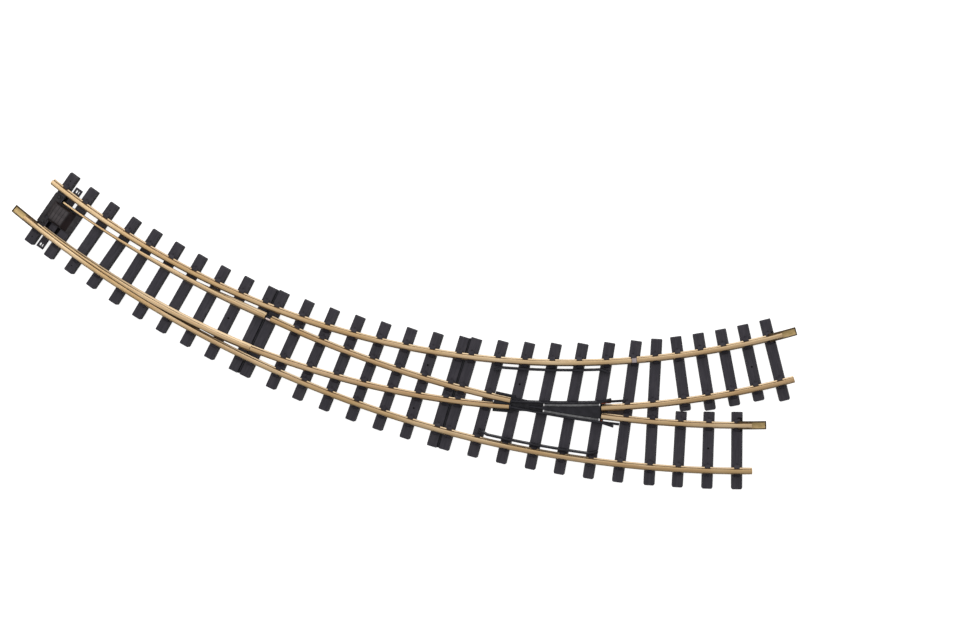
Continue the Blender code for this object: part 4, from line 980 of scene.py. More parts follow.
def make_heel_clips():
    """Thin upright contact clips beside the closure rails, just behind the blades' heels."""
    for side, route, offset, inside, start in (
            ("left", OUTER, -RAIL_OFFSET, 1, LEFT_HEEL_DEG),
            ("right", INNER, RAIL_OFFSET, -1, RIGHT_HEEL_DEG)):
        near = start + arc_degrees(route, offset, 1.5 * MM)
        far = start + arc_degrees(route, offset, 11 * MM)
        path = arc_path(route, offset + inside * 1.6 * MM, near, far, 2 * MM)
        outline = mirrored([(0.3 * MM, 2.1 * MM, 0.1 * MM), (0.3 * MM, 5.2 * MM, 0.1 * MM)], 2)
        bm = blank()
        sweep(bm, path, outline, RAIL_BASE, bevel=0.08 * MM)
        piece(side + "_heel_clip", bm, BRIGHT_STEEL,
              stands_for=[side + "_heel_contact_clip"])


# ---------------------------------------------------------------- sleepers

def sleeper_section(half_width, top_drop, cavity_top, grain):
    """Closed outline across a sleeper: drafted sides, soft top edges and a hollow below."""
    top = SLEEPER_HEIGHT - top_drop
    upper = half_width * SLEEPER_DRAFT
    edge = SLEEPER_EDGE
    points = [(-half_width, 0), (-half_width, 0.4 * MM)]
    for i in (1, 2, 3):
        share = i / 4
        points.append((-half_width + (half_width - upper) * share, (top - edge) * share))
    points += [(-upper, top - edge), (-upper + 0.3 * edge, top - 0.3 * edge)]
    span = upper - edge
    points += [(-span + 2 * span * i / (TOP_POINTS - 1), top) for i in range(TOP_POINTS)]
    outer = points + [(-across, height) for across, height in reversed(points[:7])]
    relief = [(across, height + grain(across, height)) for across, height in outer]
    inner = half_width - SLEEPER_WALL
    hollow = [(inner, 0), (inner * 0.96, cavity_top), (-inner * 0.96, cavity_top), (-inner, 0)]
    return relief + hollow


def sleeper_stations(length, corner):
    """Positions along a sleeper with the roof height of its cavity, which ribs close."""
    stations = []
    for k in range(5):
        turn = k / 4 * pi / 2
        stations.append((corner * (1 - cos(turn)), 0.0))
    cells = max(1, round((length - 2 * SLEEPER_WALL) / SLEEPER_RIB_PITCH))
    cell = (length - 2 * SLEEPER_WALL) / cells
    roof = SLEEPER_HEIGHT - SLEEPER_ROOF
    for k in range(cells):
        start = SLEEPER_WALL + cell * k + (SLEEPER_RIB / 2 if k else 0.3 * MM)
        end = SLEEPER_WALL + cell * (k + 1) - (SLEEPER_RIB / 2 if k < cells - 1 else 0.3 * MM)
        count = max(2, round((end - start) / GRAIN_STEP))
        stations.append((start, 0.0))
        stations += [(start + (end - start) * i / count, roof) for i in range(count + 1)]
        stations.append((end, 0.0))
    for k in range(5):
        turn = (4 - k) / 4 * pi / 2
        stations.append((length - corner * (1 - cos(turn)), 0.0))
    return sorted(stations, key=lambda station: station[0])


def corner_inset(distance, corner):
    """How far a sleeper's rounded end corner has pulled in at a distance from its end."""
    if distance >= corner:
        return 0.0
    return corner - sqrt(corner ** 2 - (corner - distance) ** 2)


def add_sleeper(bm, sleeper, seed, corner):
    """Hollow moulded sleeper with rounded end corners and wood grain in relief."""
    across = sleeper.left - sleeper.right
    length = across.length
    along_dir = across / length
    side_dir = Vector((along_dir.y, -along_dir.x, 0))
    rings = []
    places = []
    for distance, cavity_top in sleeper_stations(length, corner):
        inset = corner_inset(min(distance, length - distance), corner)

        def grain(side, height):
            if height < 0.3 * MM:
                return 0.0
            mark = Vector((distance * 38, side * 850, height * 850 + seed * 7.3))
            knot = Vector((distance * 60, side * 130, seed * 3.1))
            return (noise.noise(mark) * 0.8 + noise.noise(knot) * 0.35 - 0.25) * GRAIN_DEPTH

        shape = sleeper_section(SLEEPER_WIDTH / 2 - inset, inset * 0.35, cavity_top, grain)
        centre = sleeper.right + along_dir * distance
        rings.append([centre + side_dir * side + Vector((0, 0, height)) for side, height in shape])
        places.append([Vector((distance + seed * 0.7, side, height)) for side, height in shape])
    loft(bm, rings, places)


def rail_room(point, own, reach):
    """True where something at this point stays clear of every rail but its own."""
    for rail in CHAIR_RAILS.values():
        degrees, radial = polar(rail.route, point)
        beside = rail.start - 0.3 < degrees < rail.end + 0.3
        if rail is not own and beside and abs(radial - rail.offset) < reach:
            return False
    return True


def blocked(point):
    """True where a switch blade takes the room beside a rail."""
    return point.x < max(blade.pivot.x for blade in BLADES.values()) + 10 * MM


CHAIR_PROFILE = [
    (4.45, -0.7, 0.05), (7.0, -0.7, 0.05), (6.7, 0.45, 0.35), (5.6, 1.5, 0.5),
    (3.0, 2.5, 0.3), (2.65, 2.4, 0.15), (2.75, 1.85, 0.15), (4.35, 1.5, 0.15),
]


def add_chair(bm, rail, degrees, side, seed):
    """Block beside the rail's foot whose lip reaches over it, with a bolt head on one side."""
    half = arc_degrees(rail.route, rail.offset, CHAIR_LENGTH / 2)
    outline = rounded([(side * a * MM, h * MM, r * MM) for a, h, r in CHAIR_PROFILE], 2)
    path = arc_path(rail.route, rail.offset, degrees - half, degrees + half, CHAIR_LENGTH / 2)
    sweep(bm, path, outline, SLEEPER_HEIGHT, bevel=0.25 * MM, start_mark=seed * 0.37)
    bolt = on_arc(rail.route, rail.offset + side * BOLT_REACH, degrees)
    if side < 0 and rail_room(bolt, rail, BOLT_ROOM):
        stand = placed(bolt, degrees + 17 * seed, SLEEPER_HEIGHT)
        turned(bm, [(0.95 * MM, -0.4 * MM), (0.95 * MM, 0.3 * MM), (0.7 * MM, 0.5 * MM)],
               stand, 6)


def add_tie_plate(bm, rail, degrees, seed):
    """Thin plate on the sleeper, under a rail."""
    half = arc_degrees(rail.route, rail.offset, TIE_PLATE_HALF_LENGTH)
    top = CLEARANCE - 0.06 * MM
    outline = mirrored([(TIE_PLATE_HALF_WIDTH, -0.5 * MM, 0.02 * MM),
                        (TIE_PLATE_HALF_WIDTH, top, 0.12 * MM)], 1)
    path = arc_path(rail.route, rail.offset, degrees - half, degrees + half,
                    TIE_PLATE_HALF_LENGTH)
    sweep(bm, path, outline, SLEEPER_HEIGHT, bevel=0.1 * MM, start_mark=seed * 0.53)


def within(sleeper, point):
    """True where a point on a sleeper's line lies well inside its ends."""
    length = (sleeper.right - sleeper.left).length
    along = (point - sleeper.left).dot(sleeper.right - sleeper.left) / length
    return END_MARGIN < along < length - END_MARGIN


def add_chairs(bm, sleeper, seed):
    """Chairs and tie plates wherever a rail crosses a sleeper and there is room."""
    for number, rail in enumerate(CHAIR_RAILS.values()):
        hit = cross_line(rail.route, rail.offset, sleeper.left, sleeper.right)
        degrees = polar(rail.route, hit)[0]
        if not rail.start + 0.2 < degrees < rail.end - 0.2 or not within(sleeper, hit):
            continue
        mark = seed * 7 + number
        add_tie_plate(bm, rail, degrees, mark)
        for side in (-1, 1):
            reach = FOOT_WIDTH / 2 + CLEARANCE + CHAIR_WIDTH / 2
            point = on_arc(rail.route, rail.offset + side * reach, degrees)
            inward = side * rail.offset < 0
            if inward and blocked(point) or not rail_room(point, rail, CHAIR_ROOM):
                continue
            add_chair(bm, rail, degrees, side, mark)


def add_web(bm, route, offset, sleepers):
    """Low web that ties a strip's sleepers together under one rail."""
    first = polar(route, cross_line(route, offset, sleepers[0].left, sleepers[0].right))[0]
    last = polar(route, cross_line(route, offset, sleepers[-1].left, sleepers[-1].right))[0]
    half = WEB_STRIP_WIDTH / 2
    outline = mirrored([(half, WEB_STRIP_BOTTOM, 0.3 * MM), (half, WEB_STRIP_TOP, 0.5 * MM)], 2)
    sweep(bm, arc_path(route, offset, first, last, 6 * MM), outline)


def add_dimples(bm, sleepers):
    """Shallow round sinks near both ends of the sleepers."""
    for sleeper in sleepers:
        inward = (sleeper.right - sleeper.left).normalized() * DIMPLE_INSET
        for point in (sleeper.left + inward, sleeper.right - inward):
            turned(bm, [(DIMPLE_RADIUS * 0.6, SLEEPER_HEIGHT),
                        (DIMPLE_RADIUS, SLEEPER_HEIGHT + DIMPLE_DEPTH - 0.1 * MM),
                        (DIMPLE_RADIUS, SLEEPER_HEIGHT + DIMPLE_DEPTH + 1 * MM)],
                   Matrix.Translation((point.x, point.y, -DIMPLE_DEPTH)), 16)


def add_screw_holes(bm, sleepers, holes):
    """Countersunk holes, given as (sleeper, fraction of its length from the left end)."""
    for index, fraction in holes:
        point = sleepers[index].left.lerp(sleepers[index].right, fraction)
        turned(bm, [(SCREW_HOLE_RADIUS * 0.7, -1 * MM), (SCREW_HOLE_RADIUS * 0.7, 9.4 * MM),
                    (SCREW_HOLE_RADIUS, 9.9 * MM), (SCREW_HOLE_RADIUS * 1.3, 11.5 * MM)],
               Matrix.Translation(point), 20)


def add_hole_shade_pillars(bm, sleepers, holes):
    """Pillars under the screw holes, in the hollow of the sleeper. They stand in for the shade
    down each hole: they hide the glowing floor, so that the holes look dark.
    """
    for index, fraction in holes:
        point = sleepers[index].left.lerp(sleepers[index].right, fraction)
        turned(bm, [(SHADE_PILLAR_RADIUS, 0.1 * MM), (SHADE_PILLAR_RADIUS, 6.5 * MM),
                    (SHADE_PILLAR_RADIUS - 0.1 * MM, 6.6 * MM)],
               Matrix.Translation(point), 20)


def add_joiner_notch(bm, route, offset, degrees, side):
    """Recess in a sleeper where a rail joiner reaches over it."""
    inner_end = degrees - arc_degrees(route, offset, side * (JOINER_LENGTH / 2 + CLEARANCE))
    centre_deg = inner_end + side * arc_degrees(route, offset, NOTCH_LENGTH / 2)
    point = on_arc(route, offset, centre_deg)
    soft_box(bm, (NOTCH_LENGTH, 2 * NOTCH_HALF_WIDTH, 6 * MM),
             placed(point, centre_deg, NOTCH_BOTTOM), bevel=0.2 * MM, segments=1)


def make_strip(name, seed, sleepers, webs, holes, notch=None):
    """One sleeper moulding: its sleepers, the webs that tie them, and its chairs."""
    bm = blank()
    for index, sleeper in enumerate(sleepers):
        corner = PAIRED_CORNER if sleeper in PAIRED_SLEEPERS else SLEEPER_CORNER
        add_sleeper(bm, sleeper, seed + index, corner)
    bmesh.ops.remove_doubles(bm, verts=bm.verts, dist=WELD_DISTANCE)
    cutters = blank()
    add_dimples(cutters, [sleeper for sleeper in sleepers if sleeper in DIMPLED_SLEEPERS])
    add_screw_holes(cutters, sleepers, holes)
    if notch:
        add_joiner_notch(cutters, *notch)
    piece(name + "_sleepers", cut(bm, cutters), SLEEPER,
          stands_for=[name + "_sleeper_strip"])
    bm = blank()
    for route, offset, tied in webs:
        add_web(bm, route, offset, tied)
    # Pillars that stand in for the shade down the screw holes.
    add_hole_shade_pillars(bm, sleepers, holes)
    piece(name + "_webs", bm, SLEEPER)
    bm = blank()
    for index, sleeper in enumerate(sleepers):
        add_chairs(bm, sleeper, seed + index)
    piece(name + "_chairs", bm, CHAIR)


def make_pair_joints():
    """Tongues that hook two strips together, in the slit between their end sleepers."""
    bm = blank()
    for near, far in PAIRS:
        left = (near.left + far.left) / 2
        right = (near.right + far.right) / 2
        inward = (right - left).normalized() * 0.4 * MM
        sweep(bm, [left + inward, (left + right) / 2, right - inward],
              mirrored([(0.8 * MM, 1 * MM, 0.1 * MM), (0.8 * MM, 8.6 * MM, 0.2 * MM)], 2))
    piece("pair_joints", bm, BLACK)


def make_sleepers():
    """The five sleeper mouldings, with their webs and screw holes."""
    left = (INNER, -RAIL_OFFSET)
    right = (OUTER, RAIL_OFFSET)
    make_strip("toe", 1, TOE_SLEEPERS,
               [(*left, TOE_SLEEPERS[1:]), (*right, TOE_SLEEPERS[1:])], [(8, 0.5)],
               (OUTER, RAIL_OFFSET, TOE_RIGHT_DEG, -1))
    make_strip("middle", 21, MIDDLE_SLEEPERS,
               [(*left, MIDDLE_SLEEPERS), (*right, MIDDLE_SLEEPERS)], [(6, 0.3), (6, 0.71)])
    make_strip("frog", 41, FROG_SLEEPERS,
               [(*left, FROG_SLEEPERS), (*right, FROG_SLEEPERS)], [(2, 0.34)])
    make_strip("inner_exit", 61, INNER_SLEEPERS,
               [(*left, INNER_SLEEPERS), (INNER, RAIL_OFFSET, INNER_SLEEPERS)], [(3, 0.55)],
               (INNER, -RAIL_OFFSET, INNER_END_DEG, 1))
    make_strip("outer_exit", 81, OUTER_SLEEPERS,
               [(OUTER, -RAIL_OFFSET, OUTER_SLEEPERS), (*right, OUTER_SLEEPERS)], [(1, 0.47)],
               (OUTER, -RAIL_OFFSET, OUTER_END_DEG, 1))


# ---------------------------------------------------------------- toe mechanism

def make_base_tray():
    """Tray that ties the first two sleepers together below the throw bar."""
    bm = blank()
    spacing = TOE_STATIONS[1] - TOE_STATIONS[0]
    for size, centre in (((spacing, 34 * MM), (0, -4 * MM)),
                         ((spacing * 0.36, 9 * MM), (-spacing * 0.32, 16 * MM))):
        soft_box(bm, (*size, BASE_TOP - BASE_BOTTOM),
                 MECHANISM @ Matrix.Translation((*centre, BASE_BOTTOM)), bevel=0.4 * MM)
    piece("mechanism_tray", bm, SLEEPER)


def make_throw_bar():
    """Flat bar with rounded edges and a raised rim round the slot of each lug."""
    half = LUG_SLOT_CENTRE + LUG_SLOT_WIDTH / 2 + LUG_WALL
    bm = blank()
    soft_box(bm, (BAR_WIDTH, 2 * half, BAR_TOP - BAR_BOTTOM - 0.5 * MM),
             BAR @ Matrix.Translation((0, 0, BAR_BOTTOM)), bevel=0.5 * MM, segments=3)
    rims = blank()
    for side in (-1, 1):
        soft_box(rims, (BAR_WIDTH, LUG_SLOT_WIDTH + 2 * LUG_WALL, BAR_TOP - BAR_BOTTOM),
                 BAR @ Matrix.Translation((0, side * LUG_SLOT_CENTRE, BAR_BOTTOM)),
                 bevel=0.45 * MM, segments=3)
    bm = cut(bm, rims, "UNION")
    slots = blank()
    depth = BAR_TOP - BAR_BOTTOM + 2 * MM
    bottom = BAR_BOTTOM - 1 * MM
    for side in (-1, 1):
        soft_box(slots, (LUG_SLOT_LENGTH, LUG_SLOT_WIDTH, depth),
                 BAR @ Matrix.Translation((0, side * LUG_SLOT_CENTRE, bottom)), bevel=0.6 * MM)
    places = [Vector((0, 0, 0))]
    for side, blade in BLADES.items():
        places.append(BAR.inverted() @ (rest_swing(side) @ blade.pin))
    for place in places:
        soft_box(slots, (PIN_SLOT_LENGTH, PIN_SLOT_WIDTH, depth),
                 BAR @ Matrix.Translation((place.x, place.y, bottom)), bevel=0.6 * MM)
    bm = cut(bm, slots)
    for side in (-1, 1):
        soft_box(bm, (LUG_DIVIDER, LUG_SLOT_WIDTH + 0.4 * MM, 1.6 * MM),
                 BAR @ Matrix.Translation((0.3 * MM, side * LUG_SLOT_CENTRE, BAR_BOTTOM + 1 * MM)),
                 bevel=0.2 * MM)
    piece("throw_bar_moulding", bm, CHAIR, "throw_bar", ["throw_bar"])


def make_cover():
    """Moulded cover: thin flange with ears, tapered box, ribbed pad and a corner recess."""
    spacing = TOE_STATIONS[1] - TOE_STATIONS[0]
    flange_length = spacing + SLEEPER_WIDTH - 0.6 * MM
    level = Matrix.Translation((0, 0, RAIL_BASE))
    inside = Matrix.Translation((0, 0, RAIL_BASE - 1 * MM))
    recess_size = (COVER_RECESS_SIZE, COVER_RECESS_SIZE, COVER_HEIGHT + 3 * MM)
    recess_place = MECHANISM @ Matrix.Translation(COVER_RECESS_PLACE) @ inside
    hollow_size = (COVER_LENGTH - 2 * COVER_WALL, COVER_WIDTH - 2 * COVER_WALL,
                   COVER_HEIGHT + 1 * MM - COVER_WALL)

    def opened(bm):
        """Take the hollow, the recess and the screw holes out of a solid."""
        hollow = blank()
        soft_box(hollow, hollow_size, MECHANISM @ inside, (0.61, 0.8),
                 top_shift=COVER_PAD_SHIFT * 0.8)
        for place in SCREW_PLACES:
            turned(hollow, pin_profile(1.2 * MM, RAIL_BASE - 1 * MM, RAIL_BASE + 2 * MM),
                   MECHANISM @ Matrix.Translation(place))
        recess = blank()
        soft_box(recess, recess_size, recess_place, bevel=0.4 * MM)
        return cut(cut(bm, hollow), recess)

    flange = blank()
    soft_box(flange, (flange_length, COVER_WIDTH + 0.6 * MM, COVER_FLANGE), MECHANISM @ level)
    ears = blank()
    ear = Matrix.Translation(((COVER_EAR_LENGTH - flange_length) / 2, 0, 0)) @ level
    soft_box(ears, (COVER_EAR_LENGTH, 2 * COVER_EAR_HALF_WIDTH, COVER_FLANGE), MECHANISM @ ear)
    piece("cover_flange", opened(cut(flange, ears, "UNION")), FLANGE)

    box = blank()
    taper = (COVER_PAD_LENGTH / COVER_LENGTH, COVER_PAD_WIDTH / COVER_WIDTH)
    soft_box(box, (COVER_LENGTH, COVER_WIDTH, COVER_HEIGHT), MECHANISM @ level, taper,
             bevel=0.5 * MM, segments=3, top_shift=COVER_PAD_SHIFT)
    piece("cover_shell", opened(box), COVER, stands_for=["mechanism_cover"])

    pad = blank()
    top = RAIL_BASE + COVER_HEIGHT
    soft_box(pad, (COVER_PAD_LENGTH - 0.8 * MM, COVER_PAD_WIDTH - 0.8 * MM, 0.5 * MM),
             MECHANISM @ Matrix.Translation((COVER_PAD_SHIFT, 0, top - 0.38 * MM)),
             bevel=0.12 * MM)
    ribs = blank()
    pitch = (COVER_PAD_LENGTH - 1.6 * MM) / COVER_RIBS
    for i in range(COVER_RIBS):
        along = (i + 0.5 - COVER_RIBS / 2) * pitch + COVER_PAD_SHIFT
        soft_box(ribs, (pitch * 0.82, COVER_PAD_WIDTH - 2.2 * MM, 0.4 * MM),
                 MECHANISM @ Matrix.Translation((along, 0, top)), bevel=0.2 * MM)
    for name, bm, finish in (("cover_pad", pad, FLANGE), ("cover_pad_ribs", ribs, PAD)):
        corner = blank()
        soft_box(corner, recess_size, recess_place, bevel=0.4 * MM)
        piece(name, cut(bm, corner), finish)


def make_cover_screws():
    """Slotted pan-head screws through the ears of the cover."""
    seat = RAIL_BASE + COVER_FLANGE + 0.05 * MM
    for number, place in enumerate(SCREW_PLACES, start=1):
        stand = MECHANISM @ Matrix.Translation(place)
        bm = blank()
        turned(bm, [(0.85 * MM, SLEEPER_HEIGHT - 5.5 * MM), (0.9 * MM, seat),
                    (SCREW_HEAD_RADIUS, seat), (SCREW_HEAD_RADIUS, seat + 0.45 * MM),
                    (SCREW_HEAD_RADIUS * 0.85, seat + 0.85 * MM),
                    (SCREW_HEAD_RADIUS * 0.5, seat + 1.05 * MM)], stand, 32)
        slot = blank()
        soft_box(slot, (0.6 * MM, 5 * MM, 1 * MM),
                 stand @ heading(35) @ Matrix.Translation((0, 0, seat + 0.55 * MM)),
                 bevel=0.05 * MM, segments=1)
        piece("cover_screw_head_%d" % number, cut(bm, slot), BLACK_STEEL,
              stands_for=["cover_screw_%d" % number])


def tube(name, path, radius, material, body, stands_for):
    """Round wire through a path, as a mesh with closed ends."""
    data = bpy.data.curves.new(name, "CURVE")
    data.dimensions = "3D"
    data.bevel_depth = radius
    data.bevel_resolution = 4
    data.use_fill_caps = True
    spline = data.splines.new("NURBS")
    spline.points.add(len(path) - 1)
    for point, place in zip(spline.points, path):
        point.co = (*place, 1)
    spline.use_endpoint_u = True
    spline.order_u = 3
    spline.resolution_u = 4
    curve = bpy.data.objects.new(name + "_curve", data)
    bpy.context.scene.collection.objects.link(curve)
    evaluated = curve.evaluated_get(bpy.context.evaluated_depsgraph_get())
    bm = bmesh.new()
    bm.from_mesh(evaluated.to_mesh())
    bpy.data.objects.remove(curve, do_unlink=True)
    bmesh.ops.remove_doubles(bm, verts=bm.verts, dist=WELD_DISTANCE)
    bm.verts.layers.float_vector.new("place")
    stamp(bm, bm.verts)
    piece(name, bm, material, body, stands_for)


def make_snap_spring():
    """Wire spring hooked into the throw bar, whose loop runs over a fixed post."""
    reach = THROW / 2 + CLEARANCE / 2
    turns = [pi * i / 8 for i in range(9)]
    radius = SPRING_LOOP_RADIUS
    loop = [Vector((-SPRING_WAIST, -SPRING_TAIL_GAP, 0))]
    loop += [Vector((-radius * cos(turn), -reach - radius * sin(turn), 0)) for turn in turns]
    loop.append(Vector((SPRING_WAIST, 0, 0)))
    loop += [Vector((radius * cos(turn), reach + radius * sin(turn), 0)) for turn in turns]
    loop.append(Vector((-radius, SPRING_TAIL_GAP, 0)))
    path = [point + Vector((SPRING_ARM, 0, SPRING_LEVEL)) for point in loop]
    path.append(Vector((SPRING_ARM - 2 * radius, 0.1 * MM, SPRING_LEVEL)))
    path.append(Vector((0.8 * MM, 0, SPRING_LEVEL)))
    path.append(Vector((0.1 * MM, 0, SPRING_LEVEL - 0.1 * MM)))
    path.append(Vector((0, 0, SPRING_LEVEL - 1 * MM)))
    path.append(Vector((0, 0, BAR_BOTTOM + 0.6 * MM)))
    tube("snap_spring_wire", [BAR @ point for point in path], SPRING_WIRE_RADIUS, BRIGHT_STEEL,
         "throw_bar", ["snap_spring"])
    bm = blank()
    turned(bm, pin_profile(POST_RADIUS, SLEEPER_HEIGHT - POST_DEPTH, SPRING_LEVEL + 1 * MM),
           MECHANISM @ Matrix.Translation((SPRING_ARM, 0, 0)))
    piece("snap_spring_post", bm, BRIGHT_STEEL, stands_for=["spring_post"])


# ---------------------------------------------------------------- frog

def wing_paths():
    """Each wing follows the rail ahead of it, bends at the knuckle and runs beside the
    nose, and its end flares away from the flangeway."""
    beside = HEAD_WIDTH / 2 + FLANGEWAY + WING_WIDTH / 2
    paths = []
    for own, own_offset, own_start, other, other_offset, side, end in (
            (OUTER, -RAIL_OFFSET, FROG_START_OUTER_DEG, INNER, RAIL_OFFSET, -1,
             FROG_END_INNER_DEG),
            (INNER, RAIL_OFFSET, FROG_START_INNER_DEG, OUTER, -RAIL_OFFSET, 1,
             FROG_END_OUTER_DEG)):
        knuckle = meeting(own, own_offset, other, other_offset + side * beside)
        own_knuckle = polar(own, knuckle)[0]
        other_knuckle = polar(other, knuckle)[0]
        run_in = arc_path(own, own_offset, own_start, own_knuckle)[:-1]
        run_out = arc_path(other, other_offset + side * beside, other_knuckle, end, 12 * MM)
        tip = on_arc(other, other_offset + side * (beside + WING_FLARE), end + WING_END_DEG)
        paths.append((run_in, run_out + [tip]))
    return paths


def nose_outline():
    """Wedge between the two running edges, from its blunt point to the exit rails."""
    face = HEAD_WIDTH / 2
    point = meeting(INNER, RAIL_OFFSET - face + NOSE_WIDTH / 2, OUTER, -RAIL_OFFSET + face
                    - NOSE_WIDTH / 2)
    left = arc_path(INNER, RAIL_OFFSET - face, polar(INNER, point)[0], FROG_END_INNER_DEG)
    right = arc_path(OUTER, -RAIL_OFFSET + face, polar(OUTER, point)[0], FROG_END_OUTER_DEG)
    return left + list(reversed(right))


def floor_outline():
    """Plate under the wings, the flangeways and the nose."""
    reach = FOOT_WIDTH / 2
    beside = HEAD_WIDTH / 2 + FLANGEWAY + WING_WIDTH + 0.6 * MM
    left_knuckle = meeting(OUTER, -RAIL_OFFSET - reach, INNER, RAIL_OFFSET - beside)
    right_knuckle = meeting(INNER, RAIL_OFFSET + reach, OUTER, -RAIL_OFFSET + beside)
    left = arc_path(OUTER, -RAIL_OFFSET - reach, FROG_START_OUTER_DEG,
                    polar(OUTER, left_knuckle)[0])
    left += arc_path(INNER, RAIL_OFFSET - beside, polar(INNER, left_knuckle)[0],
                     FROG_END_INNER_DEG)[1:]
    right = arc_path(INNER, RAIL_OFFSET + reach, FROG_START_INNER_DEG,
                     polar(INNER, right_knuckle)[0])
    right += arc_path(OUTER, -RAIL_OFFSET + beside, polar(OUTER, right_knuckle)[0],
                      FROG_END_OUTER_DEG)[1:]
    return left + list(reversed(right))


def upright_outline(width, bottom, top, crown=0.5 * MM):
    """Upright bar section with a crowned top."""
    return mirrored([(width / 2, bottom, 0.05 * MM), (width / 2, top, crown)])


def make_frog():
    """Moulded frog: floor, run-in rails, wings with flared tips and the nose, in one mesh."""
    bm = blank()
    prism(bm, floor_outline(), RAIL_BASE, RAIL_BASE + FROG_FLOOR, 0.4 * MM)
    low = RAIL_BASE + 1 * MM
    for run_in, run_out in wing_paths():
        sweep(bm, run_in + run_out[:1], upright_outline(HEAD_WIDTH, low, RAIL_TOP, 0.7 * MM))
        sweep(bm, run_out, upright_outline(WING_WIDTH, low, RAIL_TOP - 0.1 * MM))
    prism(bm, nose_outline(), low, RAIL_TOP - 0.2 * MM, 0.4 * MM)
    piece("frog_moulding", bm, BLACK, stands_for=["frog_casting"])

    middle = (HEAD_WIDTH + FLANGEWAY) / 2
    bottom = RAIL_BASE + FROG_FLOOR + 0.1 * MM
    outline = upright_outline(STRIP_WIDTH, bottom, bottom + STRIP_HEIGHT + 1 * MM, 0.5 * MM)
    for side, route, offset, start, end in (
            ("left", INNER, RAIL_OFFSET - middle, FROG_STRIP_INNER_DEG, FROG_END_INNER_DEG),
            ("right", OUTER, -RAIL_OFFSET + middle, FROG_STRIP_OUTER_DEG, FROG_END_OUTER_DEG)):
        bm = blank()
        sweep(bm, arc_path(route, offset, start, end, 6 * MM), outline, bevel=0.3 * MM)
        piece("frog_%s_strip" % side, bm, DARK_STEEL,
              stands_for=["frog_%s_running_strip" % side])
        tips = blank()
        cap = arc_degrees(route, offset, STRIP_CAP_LENGTH)
        for tip in (start, end - cap):
            sweep(tips, arc_path(route, offset, tip, tip + cap, 1 * MM),
                  shrunk(outline, -0.1 * MM), bevel=0.5 * MM)
        piece("frog_%s_strip_ends" % side, tips, BRIGHT_STEEL)


def between_rails(upper_line, lower_line, start, end, step=RAIL_STEP):
    """Outline between a line of one route and a line of the other, across the track."""
    upper = arc_path(*upper_line, start, end, step)
    lower = []
    for point in upper:
        radial = Vector((0, OUTER_RADIUS, 0)) - point
        lower.append(cross_line(*lower_line, point, point + radial))
    return upper + list(reversed(lower))


def make_frog_fittings():
    """Filler ahead of the frog, whose near end is a dark stand-in for shade, ribs beside its rails
    and the spacer behind its nose.
    """
    bm = blank()
    low = RAIL_BASE + FOOT_CROWN + 0.1 * MM
    face = HEAD_WIDTH / 2 + 0.15 * MM
    # The filler's near end reaches back over a spot that has only shade: that part is painted
    # shade.
    filler_and_shade = between_rails((OUTER, -RAIL_OFFSET + face), (INNER, RAIL_OFFSET - face),
                           FROG_START_OUTER_DEG - 0.85, FROG_START_OUTER_DEG - 0.02)
    prism(bm, filler_and_shade, low, RAIL_BASE + 5.2 * MM, 0.3 * MM)
    rib = upright_outline(2.6 * MM, RAIL_BASE - 0.8 * MM, RAIL_BASE + 2.4 * MM, 0.3 * MM)
    reach = RAIL_FOOT_WIDTH / 2 + 1.35 * MM
    for route, offset, start, end in (
            (OUTER, -RAIL_OFFSET - reach, FROG_START_OUTER_DEG - 0.85, FROG_START_OUTER_DEG + 0.2),
            (INNER, RAIL_OFFSET + reach, FROG_START_INNER_DEG - 1.1, FROG_START_INNER_DEG + 0.2),
            (INNER, RAIL_OFFSET - reach - 1.4 * MM, FROG_END_INNER_DEG - 0.1,
             FROG_END_INNER_DEG + 1.65),
            (OUTER, -RAIL_OFFSET + reach + 1.4 * MM, FROG_END_OUTER_DEG - 0.1,
             FROG_END_OUTER_DEG + 1.0)):
        sweep(bm, arc_path(route, offset, start, end), rib, bevel=0.2 * MM)
    piece("frog_fittings", bm, BLACK)

    spacer = blank()
    face = RAIL_FOOT_WIDTH / 2 + 0.05 * MM
    outline = between_rails((INNER, RAIL_OFFSET + face), (OUTER, -RAIL_OFFSET - face),
                            FROG_END_INNER_DEG + 0.05, FROG_END_INNER_DEG + 1.5, 4 * MM)
    prism(spacer, outline, SLEEPER_HEIGHT - 2 * MM, RAIL_BASE + 1.4 * MM, 0.2 * MM)
    piece("exit_spacer", spacer, SPACER)


def make_feed_strips():
    """Short copper strips beside the exit rails, just past the frog."""
    low = RAIL_BASE + 0.1 * MM
    outline = upright_outline(1.2 * MM, low, low + 0.8 * MM, 0.15 * MM)
    reach = FOOT_WIDTH / 2 + CLEARANCE + 0.6 * MM
    for side, route, offset, start, length in (
            ("inner", INNER, RAIL_OFFSET - reach, FROG_END_INNER_DEG, FEED_INNER_LENGTH),
            ("outer", OUTER, -RAIL_OFFSET + reach, FROG_END_OUTER_DEG, FEED_OUTER_LENGTH)):
        near = start + arc_degrees(route, offset, 2 * CLEARANCE)
        far = start + arc_degrees(route, offset, length)
        bm = blank()
        sweep(bm, arc_path(route, offset, near, far, 2 * MM), outline, bevel=0.1 * MM)
        piece(side + "_feed", bm, COPPER, stands_for=[side + "_exit_feed_strip"])


